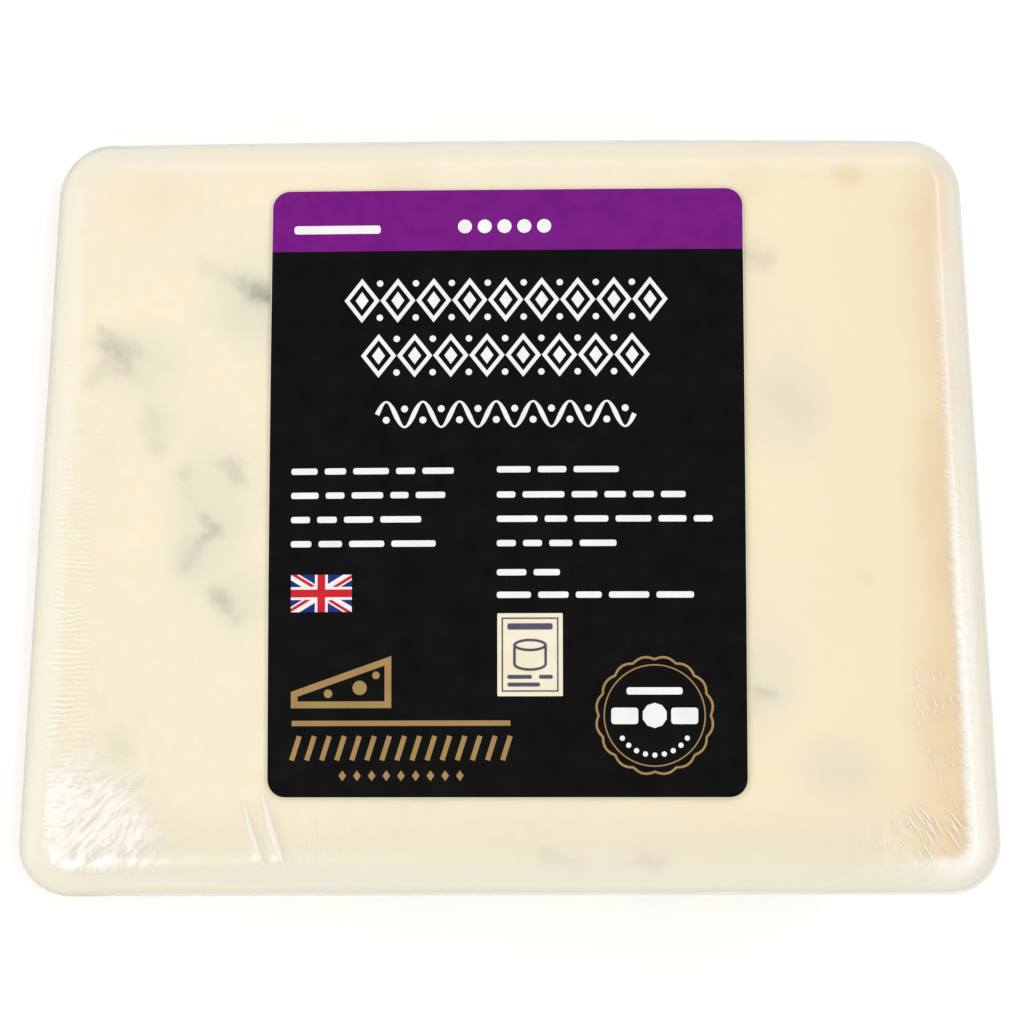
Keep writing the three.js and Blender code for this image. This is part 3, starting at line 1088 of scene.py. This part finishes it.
def shrunk_polyolefin():
    """Shrunk polyolefin film: glossy and clear, milky in its folds with painted highlights, so the pack
    looks wrapped and wet.
    """
    material, tree = new_material("shrunk_polyolefin_film")
    place = add_node(tree, "Attribute", output="Vector", attribute_name="rim_place")
    milk_and_glint = add_node(tree, "Attribute", output="Fac", attribute_name="milk_and_glint")
    crumpled = add_node(tree, "Attribute", output="Fac", attribute_name="crumpled")

    # fine creases: thin white lines where a noise, squeezed along the rim, crosses its middle value, painted
    # highlights on the creases
    squeeze = (1 / CREASE_WIDTH, 1 / CREASE_WIDTH, 1 / CREASE_REACH)
    squeezed = add_node(tree, "Mapping", {"Vector": place, "Scale": squeeze})
    fine = add_node(tree, "TexNoise", {"Vector": squeezed, "Scale": 1.0, "Detail": 0.0})
    off = add_node(tree, "Math", {0: fine, 1: 0.5}, operation="SUBTRACT")
    away = add_node(tree, "Math", {0: off}, operation="ABSOLUTE")
    lines = add_node(tree, "MapRange", {"Value": away, "From Min": 0.1, "From Max": 0.0, "To Max": 0.3})
    # milky: the stored milk and painted highlights, with the creases' painted highlights added
    folded = {0: lines, 1: crumpled, 2: milk_and_glint}
    milky = add_node(tree, "Math", folded, operation="MULTIPLY_ADD", use_clamp=True)

    # the milky part: a warm white that greys where it is seen edge on, a painted shade at the rim
    facing = add_node(tree, "LayerWeight", {"Blend": 0.5}, "Facing")
    painted_edge_shade = add_node(tree, "MapRange", {"Value": facing, "From Min": 0.25, "From Max": 0.95})
    colours = {"Factor": painted_edge_shade, "A": hex_colour("#FFFBF0"), "B": hex_colour("#DEDCD6")}
    whiteness = add_node(tree, "Mix", colours, data_type="RGBA")
    back = add_node(tree, "BsdfDiffuse", {"Color": whiteness})
    through = add_node(tree, "BsdfTranslucent", {"Color": whiteness})
    white = add_node(tree, "MixShader", {0: 0.12, 1: back, 2: through})
    clear = add_node(tree, "BsdfTransparent", {"Color": (1, 1, 1, 1)})
    body = add_node(tree, "MixShader", {0: milky, 1: clear, 2: white})

    # the shine, on the outside only
    gloss = add_node(tree, "BsdfGlossy", {"Roughness": 0.22})
    fresnel = add_node(tree, "Fresnel", {"IOR": BOTH_FACES_IOR})
    inside = add_node(tree, "NewGeometry", output="Backfacing")
    outside = add_node(tree, "Math", {0: 1.0, 1: inside}, operation="SUBTRACT")
    shine = add_node(tree, "Math", {0: fresnel, 1: outside}, operation="MULTIPLY")
    skin = add_node(tree, "MixShader", {0: shine, 1: body, 2: gloss})
    add_node(tree, "OutputMaterial", {"Surface": skin})
    return material


film_finish = shrunk_polyolefin()
film.data.materials.append(film_finish)
folds.data.materials.append(film_finish)
print("nodes in the film's finish:", len(film_finish.node_tree.nodes))

# %% [markdown]
# ## The label
#
# The label is a die-cut sheet of paper with round corners. It is printed black all over with a purple band
# at the head, under a matt varnish, and the die cuts a hair outside the print, so a fine pale line of bare
# paper shows all round. A plane is enough to start from. It is inset for the bare edge, cut into strips so
# that it can bend with the crowned face, and given its thickness.

# %% The label sheet
LABEL_LENGTH = 50 * MM
LABEL_HEIGHT = 64.4 * MM
LABEL_CORNER_RADIUS = 1.9 * MM
LABEL_MIDDLE = Vector((-0.2, 2.1)) * MM  # from the face's middle
LABEL_LIFT = 0.04 * MM
LABEL_THICKNESS = 0.12 * MM
BARE_EDGE = 0.07 * MM
BAND_HEIGHT = 6.7 * MM
STRIP = 3 * MM
BLACK, PURPLE, PAPER = 0, 1, 2


def cut_into_strips():
    """In edit mode, cuts all of a flat piece along a grid, so that it can bend with the face."""
    for axis, reach in ((0, LABEL_LENGTH / 2), (1, LABEL_HEIGHT / 2)):
        count = math.ceil(2 * reach / STRIP)
        for i in range(1, count):
            plane, normal = Vector((0, 0, 0)), Vector((0, 0, 0))
            plane[axis] = -reach + 2 * reach * i / count
            normal[axis] = 1
            bpy.ops.mesh.select_all(action="SELECT")
            bpy.ops.mesh.bisect(plane_co=plane, plane_no=normal)


def lay_on_face(piece, lift):
    """Bends a flat piece, drawn round the label's middle, onto the crowned face and so high above it."""
    for vertex in piece.data.vertices:
        x, y = vertex.co.x + LABEL_MIDDLE.x, vertex.co.y + LABEL_MIDDLE.y
        above = crown_at(x, y) + lift + vertex.co.z
        vertex.co = in_wheel(MID_RADIUS + x, y, 1) + UPPER_NORMAL * above + TO_FRAME
    piece.data.update()


bpy.ops.mesh.primitive_plane_add(size=1, location=(0, 0, 0))
label_sheet = start_piece("label_sheet")
bpy.ops.transform.resize(value=(LABEL_LENGTH, LABEL_HEIGHT, 1), center_override=(0, 0, 0))
bpy.ops.mesh.bevel(offset=LABEL_CORNER_RADIUS, segments=8, affect="VERTICES")
bpy.ops.mesh.select_all(action="SELECT")
bpy.ops.mesh.inset(thickness=BARE_EDGE)
bpy.ops.object.mode_set(mode="OBJECT")
for face in label_sheet.data.polygons:
    face.material_index = BLACK if face.select else PAPER
start_piece("label_sheet")
cut_into_strips()
bpy.ops.mesh.select_all(action="SELECT")
bpy.ops.mesh.bisect(plane_co=(0, LABEL_HEIGHT / 2 - BAND_HEIGHT, 0), plane_no=(0, 1, 0))
bpy.ops.object.mode_set(mode="OBJECT")
for face in label_sheet.data.polygons:
    if face.material_index == BLACK and face.center.y > LABEL_HEIGHT / 2 - BAND_HEIGHT:
        face.material_index = PURPLE
print("label sheet, flat:", len(label_sheet.data.polygons), "faces")


# %% [markdown]
# ## Paper and ink
#
# Printed paper is matt but not dead: a fine tooth in the fibres, and ink that lies a touch thicker in some
# places than in others. The tooth of real label paper is about 0.05 mm, too fine to show, so it is drawn at
# 0.3 mm. One finish serves the paper and all the inks, each with two near shades of its own.

# %% Print finishes
INK_CLOUD = 2.5 * MM
PAPER_TOOTH = 0.3 * MM  # coarser than the real one, which would not show


def printed_finish(name, shade, other_shade, roughness=0.5):
    """Offset print under matt varnish: a quiet, even field with no mirror in it, alive only close up."""
    material, tree = new_material(name)
    place = add_node(tree, "TexCoord", output="Object")
    cloud = add_node(tree, "TexNoise", {"Vector": place, "Scale": 1 / INK_CLOUD, "Detail": 4.0})
    thick = add_node(tree, "MapRange", {"Value": cloud, "From Min": 0.35, "From Max": 0.65})
    colours = {"Factor": thick, "A": hex_colour(shade), "B": hex_colour(other_shade)}
    colour = add_node(tree, "Mix", colours, data_type="RGBA")
    tooth = add_node(tree, "TexNoise", {"Vector": place, "Scale": 1 / PAPER_TOOTH, "Detail": 2.0})
    normal = add_node(tree, "Bump", {"Height": tooth, "Strength": 0.3, "Distance": 0.02 * MM})
    surface = {"Base Color": colour, "Roughness": roughness, "Specular IOR Level": 0.05, "Normal": normal}
    varnish = add_node(tree, "BsdfPrincipled", surface)
    add_node(tree, "OutputMaterial", {"Surface": varnish})
    return material


label_sheet.data.materials.append(printed_finish("black_printed_paper", "#080808", "#0E0E0E"))
label_sheet.data.materials.append(printed_finish("purple_printed_paper", "#6F1579", "#761A82"))
label_sheet.data.materials.append(printed_finish("bare_label_paper", "#D6CEB8", "#DED7C4"))
apply_modifier(label_sheet, "SOLIDIFY", thickness=LABEL_THICKNESS, offset=1)
lay_on_face(label_sheet, LABEL_LIFT)
print("label sheet:", len(label_sheet.data.polygons), "faces")

# %% [markdown]
# ## How the print is drawn
#
# Each ink is one thin closed piece, a few hundredths of a millimetre proud of the paper, as screen-printed
# ink is. Its shapes are drawn flat in edit mode from planes, circles and a bent grid, in millimetres from
# the label's top left corner, as a designer lays out a label. The design is a plain one of our own:
# lozenges, dots and bars where a real label has its words.

# %% Ink on the label
INK_THICKNESS = 0.03 * MM
PAPER_TOP = LABEL_LIFT + LABEL_THICKNESS
CLEARANCE = 0.01 * MM


def on_label(left, down):
    """A place on the flat label, from millimetres right of its left edge and below its top edge."""
    return Vector((left * MM - LABEL_LENGTH / 2, LABEL_HEIGHT / 2 - down * MM, 0))


def close_ink(ink, layer, material):
    """Cuts the ink into strips, gives it thickness and lays it on the label. Layer 1 lies on the paper."""
    cut_into_strips()
    bpy.ops.mesh.select_all(action="SELECT")
    bpy.ops.mesh.normals_make_consistent(inside=False)
    bpy.ops.object.mode_set(mode="OBJECT")
    if ink.data.polygons[0].normal.z < 0:
        ink.data.flip_normals()
    ink.data.materials.append(material)
    apply_modifier(ink, "SOLIDIFY", thickness=INK_THICKNESS, offset=1)
    lay_on_face(ink, PAPER_TOP + (layer - 1.5) * INK_THICKNESS + CLEARANCE)
    print(ink.name, len(ink.data.polygons), "faces")


print("the print starts", round(PAPER_TOP / MM, 2), "mm above the film")


# %% Bars, polygons and strokes
def bar(left, down, width, height, corner=0.0):
    """A bar from its left top corner, with round corners if wanted."""
    bpy.ops.mesh.select_all(action="DESELECT")
    middle = on_label(left + width / 2, down + height / 2)
    bpy.ops.mesh.primitive_plane_add(size=1 * MM, location=middle)
    bpy.ops.transform.resize(value=(width, height, 1), center_override=middle)
    if corner:
        bpy.ops.mesh.bevel(offset=corner * MM, segments=3, affect="VERTICES")


def polygon(left, down, width, height, sides, line=0.0):
    """A lozenge, disc or ellipse round its middle: solid, or an outline where a line's width is given."""
    bpy.ops.mesh.select_all(action="DESELECT")
    middle = on_label(left, down)
    bpy.ops.mesh.primitive_circle_add(vertices=sides, radius=MM / 2, fill_type="NGON", location=middle)
    bpy.ops.transform.resize(value=(width, height, 1), center_override=middle)
    if line:
        bpy.ops.mesh.inset(thickness=line * MM)
        bpy.ops.mesh.delete(type="FACE")


def stroke(path, width, steps):
    """A stroke along path(share) in mm from the label's top left corner, width(share) wide."""

    def on_stroke(spot):
        share = (spot.x + 1) / 2
        before, after = (Vector(path(share + step)) for step in (-0.001, 0.001))
        side = Vector((before.y - after.y, after.x - before.x)).normalized()
        place = Vector(path(share)) - side * spot.y * width(share) / 2
        return on_label(place.x, place.y)

    bpy.ops.mesh.select_all(action="DESELECT")
    bpy.ops.mesh.primitive_grid_add(x_subdivisions=steps, y_subdivisions=1, size=2, location=(0, 0, 0))
    move_selected(on_stroke)


# %% Small print
WORD_LENGTHS = (1.8, 4.8)
SHORTEST_LAST_WORD = 1.0
WORD_GAP = 0.75


def words(left, down, width, height, chance):
    """A line of small print: a rounded bar for each word."""
    here = left
    while here < left + width - SHORTEST_LAST_WORD:
        length = min(chance.uniform(*WORD_LENGTHS), left + width - here)
        bar(here, down, length, height, height * 0.35)
        here += length + WORD_GAP


# %% [markdown]
# ## White ink
#
# White carries the label's message: a row of pips in the band for the strength, two friezes of lozenges for
# the title, a running wave below them, and two columns of small print.

# %% Friezes and a wave
def frieze(left, down, width, height, count):
    """A row of outlined lozenges, each with a small solid one inside, and dots between their points."""
    pitch = width / count
    for i in range(count):
        middle = left + (i + 0.5) * pitch
        polygon(middle, down + height / 2, pitch * 0.98, height, 4, line=0.42)
        polygon(middle, down + height / 2, pitch * 0.36, height * 0.4, 4)
        if i:
            polygon(middle - pitch / 2, down + 0.55, 0.7, 0.7, 12)
            polygon(middle - pitch / 2, down + height - 0.55, 0.7, 0.7, 12)


def running_wave(left, down, width, height, waves):
    """A wave that swells and thins as a pen stroke does, with a dot in each of its hollows."""

    def path(share):
        return left + width * share, down + height / 2 - height / 2 * math.sin(TURN * waves * share)

    stroke(path, lambda share: 0.2 + 0.3 * math.cos(TURN * waves * share) ** 2, 24 * waves)
    for i in range(2 * waves):
        share = (i + 0.5) / (2 * waves)
        aside = height * 0.22 * (1 if i % 2 == 0 else -1)
        polygon(left + width * share, down + height / 2 + aside, 0.75, 0.75, 12)


# %% The flag's arms and cross
FLAG = (2.45, 41.2, 6.4, 3.9)  # left, down, width, height
WHITE_CROSS = 1.35


def trim(place, outward):
    """Cuts off what is selected beyond a place."""
    bpy.ops.mesh.bisect(plane_co=place, plane_no=outward, clear_outer=True)
    bpy.ops.mesh.select_linked()


def flag_arm(right, up, width, shift):
    """One diagonal arm of the flag, cut off at its rim and at the cross, and shifted to its left."""
    left, down, length, height = FLAG
    middle = on_label(left + length / 2, down + height / 2)
    slope = math.atan2(height, length)
    along = Vector((right * math.cos(slope), up * math.sin(slope), 0))
    side = Vector((-along.y, along.x, 0))
    reach = (length / 2 + 1) / math.cos(slope)

    def on_arm(spot):
        aside = spot.y * width / 2 + shift
        return middle + (along * reach * (spot.x + 1) / 2 + side * aside) * MM

    bpy.ops.mesh.select_all(action="DESELECT")
    bpy.ops.mesh.primitive_grid_add(x_subdivisions=1, y_subdivisions=1, size=2, location=(0, 0, 0))
    move_selected(on_arm)
    for outward, rim in ((Vector((right, 0, 0)), length / 2), (Vector((0, up, 0)), height / 2)):
        trim(middle + outward * rim * MM, outward)
        trim(middle + outward * WHITE_CROSS / 2 * MM, -outward)


def flag_arms(width, shift):
    """The four diagonal arms of the flag."""
    for right in (-1, 1):
        for up in (-1, 1):
            flag_arm(right, up, width, shift)


def flag_cross(width):
    """The upright cross of the flag, as one upright and two arms that meet it."""
    left, down, length, height = FLAG
    bar(left + (length - width) / 2, down, width, height)
    for start in (left, left + (length + width) / 2):
        bar(start, down + (height - width) / 2, (length - width) / 2, width)


# %% White ink
TEXT_HEIGHT = 0.66
SMALL_PRINT = (
    # left, then down and width of each line
    (2.4, ((30.0, 17.1), (32.55, 17.9), (35.1, 14.5), (37.65, 16.0))),
    (24.0, ((29.9, 13.4), (32.55, 19.7), (35.1, 22.5), (37.65, 12.6), (40.7, 8.3), (43.05, 21.6))),
)
PIPS, PIP_PITCH, PIP_SIZE = 5, 2.1, 1.5
SEAL = (40.35, 55.9)
SEAL_DOTS, DOTS_FROM, DOTS_OVER, DOTS_RADIUS = 9, 215, 110, 4.1  # an arc in degrees, and mm

chance = random.Random(7)
white_ink = open_empty("white_ink")
bar(2.4, 3.9, 9.2, 0.9, corner=0.3)
for i in range(PIPS):
    polygon(24.75 + (i - PIPS // 2) * PIP_PITCH, 4.1, PIP_SIZE, PIP_SIZE, sides=24)
frieze(7.8, 9.7, 34.2, 4.8, count=9)
frieze(9.6, 15.7, 30.5, 4.7, count=8)
running_wave(11.4, 23.0, 27, 2.7, waves=7)
for left, lines in SMALL_PRINT:
    for down, width in lines:
        words(left, down, width, TEXT_HEIGHT, chance)
flag_arms(width=0.95, shift=0)
flag_cross(WHITE_CROSS)

left, down = SEAL
for side in (-1, 1):
    bar(left + side * 3.1 - 1.4, down - 0.8, 2.8, 1.7, corner=0.3)
bar(left - 2.9, down - 2.9, 5.8, 0.75, corner=0.25)
for i in range(SEAL_DOTS):
    angle = math.radians(DOTS_FROM + DOTS_OVER * i / (SEAL_DOTS - 1))
    polygon(left + DOTS_RADIUS * math.cos(angle), down - DOTS_RADIUS * math.sin(angle), 0.55, 0.55, 12)
polygon(left, down, 2.6, 2.6, sides=10)
close_ink(white_ink, 2, printed_finish("opaque_white_ink", "#E4E4E2", "#ECECEA"))

# %% [markdown]
# ## Gold, cream, slate and the flag's colours
#
# A flat bronze-gold ink draws the foot of the label and the seal's rings. A small cream stamp and a flag
# add the only other colours. Where inks lie over each other, the upper one is a layer higher, so that no
# two faces fill the same plane.

# %% Gold ink
def scalloped_ring(left, down, radius, scallops, depth, line):
    """A ring with a scalloped rim."""

    def path(share):
        angle = TURN * share
        reach = radius - depth + depth * abs(math.sin(scallops * angle / 2))
        return left + reach * math.cos(angle), down - reach * math.sin(angle)

    stroke(path, lambda share: line, 12 * scallops)


STRANDS, STRAND_PITCH = 15, 1.57
FOOT_LOZENGES, LOZENGE_PITCH = 9, 1.53

gold_ink = open_empty("gold_ink")
bar(2.5, 49.7, 10.5, 5.4)
top_left, blunt_tip = on_label(2.5, 49.7), on_label(2.5, 53.4)
move_selected(lambda spot: blunt_tip if (spot - top_left).length < MM else spot)  # a wedge of cheese
bpy.ops.mesh.inset(thickness=0.7 * MM)
bpy.ops.mesh.delete(type="FACE")
for left, down, size in ((9.7, 53.0, 1.5), (6.4, 53.6, 0.9), (11.4, 51.7, 0.8)):
    polygon(left, down, size, size, sides=20)
bar(2.6, 56.4, 22.8, 0.55)
for i in range(STRANDS):
    start = 2.6 + STRAND_PITCH * i
    stroke(lambda share: (start + 0.8 * share, 60.5 - 2.5 * share), lambda share: 0.52, steps=4)
for i in range(FOOT_LOZENGES):
    polygon(7.9 + LOZENGE_PITCH * i, 62.1, 0.8, 1.1, sides=4)
scalloped_ring(*SEAL, radius=6.1, scallops=16, depth=0.3, line=0.24)
polygon(*SEAL, 10.6, 10.6, sides=64, line=0.14)
close_ink(gold_ink, 1, printed_finish("bronze_gold_ink", "#9A7D50", "#A38454", roughness=0.4))

# %% Cream and slate ink
STAMP = (24.05, 45.3, 6.8, 8.6)  # left, down, width, height
STAMP_MIDDLE = STAMP[0] + STAMP[2] / 2
STAMP_RULES = (
    # the same, for each side of the thin frame in the stamp
    (24.5, 45.75, 5.9, 0.14),
    (24.5, 53.3, 5.9, 0.14),
    (24.5, 45.89, 0.14, 7.41),
    (30.26, 45.89, 0.14, 7.41),
)
WHEEL_REACH = 1.62  # from the little wheel of cheese's middle to the lines of its sides
WHEEL_LINE = 0.26


def foot_of_wheel(share):
    """The lower edge of the little wheel of cheese on the stamp."""
    angle = math.pi * (1 + share)
    return STAMP_MIDDLE + WHEEL_REACH * math.cos(angle), 50.55 - 0.6 * math.sin(angle)


cream_ink = open_empty("cream_ink")
bar(*STAMP, corner=0.1)
close_ink(cream_ink, 1, printed_finish("cream_ink", "#E6DDC2", "#ECE4CB"))

slate_ink = open_empty("slate_ink")
for rule in STAMP_RULES:
    bar(*rule)
bar(25.1, 46.35, 4.7, 0.65, corner=0.2)
polygon(STAMP_MIDDLE, 48.6, 3.5, 1.3, sides=32, line=WHEEL_LINE)
for side in (-1, 1):
    bar(STAMP_MIDDLE + side * WHEEL_REACH - WHEEL_LINE / 2, 48.75, WHEEL_LINE, 1.8)
stroke(foot_of_wheel, lambda share: WHEEL_LINE, steps=20)
for down in (51.7, 52.5):
    words(25.1, down, 4.7, 0.4, chance)
close_ink(slate_ink, 2, printed_finish("slate_ink", "#4A4A5C", "#55556A"))

# %% The flag's blue and red
blue_ink = open_empty("blue_ink")
bar(*FLAG)
close_ink(blue_ink, 1, printed_finish("flag_blue_ink", "#1D2C74", "#22327C"))

red_ink = open_empty("red_ink")
flag_arms(width=0.3, shift=-0.16)
flag_cross(width=0.8)
close_ink(red_ink, 3, printed_finish("flag_red_ink", "#C4202F", "#CB2635"))

# %% [markdown]
# ## Camera
#
# The camera looks down on the shown face, a little from the tip's side and from below, with a long lens. It
# could be turned by hand, but three measures say it better: where it aims, where it stands, and its angle.

# %% Camera
AIM = Vector((-6.23, -0.59, 27.47)) * MM
EYE = Vector((-126.66, -34.77, 300.10)) * MM
VIEW_ANGLE = math.radians(20.226)


def looking_from(place, target):
    """The matrix of a camera or a lamp at a place that looks at a target, with +Y up in its view."""
    back = (place - target).normalized()
    up = (Vector((0, 1, 0)) - back * back.y).normalized()
    return Matrix.Translation(place) @ Matrix((up.cross(back), up, back)).transposed().to_4x4()


lens = bpy.data.cameras.new("camera")
camera = bpy.data.objects.new("camera", lens)
bpy.context.collection.objects.link(camera)
lens.angle = VIEW_ANGLE
camera.matrix_world = looking_from(EYE, AIM)
bpy.context.scene.camera = camera
print("camera distance, mm:", round((EYE - AIM).length / MM))

# %% [markdown]
# ## Floor and light
#
# The pack lies on a light table: a sheet of opal acrylic lit from below, which keeps the floor white and
# fills the walls and the rim with light. More comes evenly from all round, as in a white tent. Soft boxes
# add what the film needs to look like film. A strip above the rind's side draws a bright line along that
# shoulder, and two wide dim boxes brighten the shoulders at the top end and at the tip. A small one glares
# on the crumpled corner. They stand where the flat of the face can't mirror them to the camera.

# %% Floor and light
TABLE_GLOW = 0.34
TENT_GLOW = 0.85
FLOOR_SIZE = 6
FLOOR_DROP = 0.2 * MM  # a hair under the pack, so that the two never fill the same plane
LAMP_DISTANCE = 0.8


def opal_acrylic():
    """Opal acrylic lit from below: an even white with a faint cloudiness and no visible shadow edge."""
    material, tree = new_material("opal_acrylic_light_table")
    place = add_node(tree, "TexCoord", output="Object")
    cloud = add_node(tree, "TexNoise", {"Vector": place, "Scale": 1 / (60 * MM), "Detail": 1.0})
    colours = {"Factor": cloud, "A": hex_colour("#D9D9D9"), "B": hex_colour("#DBDBDB")}
    surface = {
        "Base Color": add_node(tree, "Mix", colours, data_type="RGBA"),
        "Roughness": 0.7,
        "Specular IOR Level": 0.1,
        "Emission Color": hex_colour("#FFFFFF"),
        "Emission Strength": TABLE_GLOW,
    }
    add_node(tree, "OutputMaterial", {"Surface": add_node(tree, "BsdfPrincipled", surface)})
    return material


bpy.ops.mesh.primitive_plane_add(size=FLOOR_SIZE, location=(0, 0, -FLOOR_DROP))
floor = bpy.context.object
floor.name = "floor"
floor.data.materials.append(opal_acrylic())


def softbox(name, left_degrees, up_degrees, width, height, radiance):
    """A soft rectangular light that looks at the pack, so far left of upright and so far towards +Y."""
    left, up = math.radians(left_degrees), math.radians(up_degrees)
    direction = Vector((-math.sin(left) * math.cos(up), math.sin(up), math.cos(left) * math.cos(up)))
    data = bpy.data.lights.new(name, "AREA")
    data.shape = "RECTANGLE"
    data.size, data.size_y = width, height
    data.energy = radiance * math.pi * width * height
    light = bpy.data.objects.new(name, data)
    bpy.context.collection.objects.link(light)
    light.matrix_world = looking_from(AIM + direction * LAMP_DISTANCE, AIM)
    print(name, round(data.energy, 2), "W")


softbox("rind_strip", left_degrees=-16, up_degrees=0, width=0.07, height=1.1, radiance=5.0)
softbox("head_box", left_degrees=24, up_degrees=48, width=0.50, height=0.34, radiance=0.7)
softbox("tip_wash", left_degrees=78, up_degrees=0, width=0.50, height=0.60, radiance=0.6)
softbox("tip_box", left_degrees=48, up_degrees=-24, width=0.18, height=0.18, radiance=6.0)

world = bpy.data.worlds.new("white_tent")
bpy.context.scene.world = world
world.use_nodes = True
tent = world.node_tree.nodes["Background"]
tent.inputs["Color"].default_value = (1, 1, 1, 1)
tent.inputs["Strength"].default_value = TENT_GLOW
bpy.context.scene.view_settings.view_transform = "Standard"

# %% [markdown]
# ## Tie everything to the frame
#
# Nothing on this pack moves, so every piece rides on the one body, root. The cheese and the film stand for
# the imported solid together, and the sheet for the solid label.

# %% Tie everything to the frame
inks = (white_ink, gold_ink, cream_ink, slate_ink, blue_ink, red_ink)
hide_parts("wrapped_wedge")
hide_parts("wrapped_wedge")
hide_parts("label")
for piece in (cheese, film, folds, label_sheet, *inks):
    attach(piece, "root")
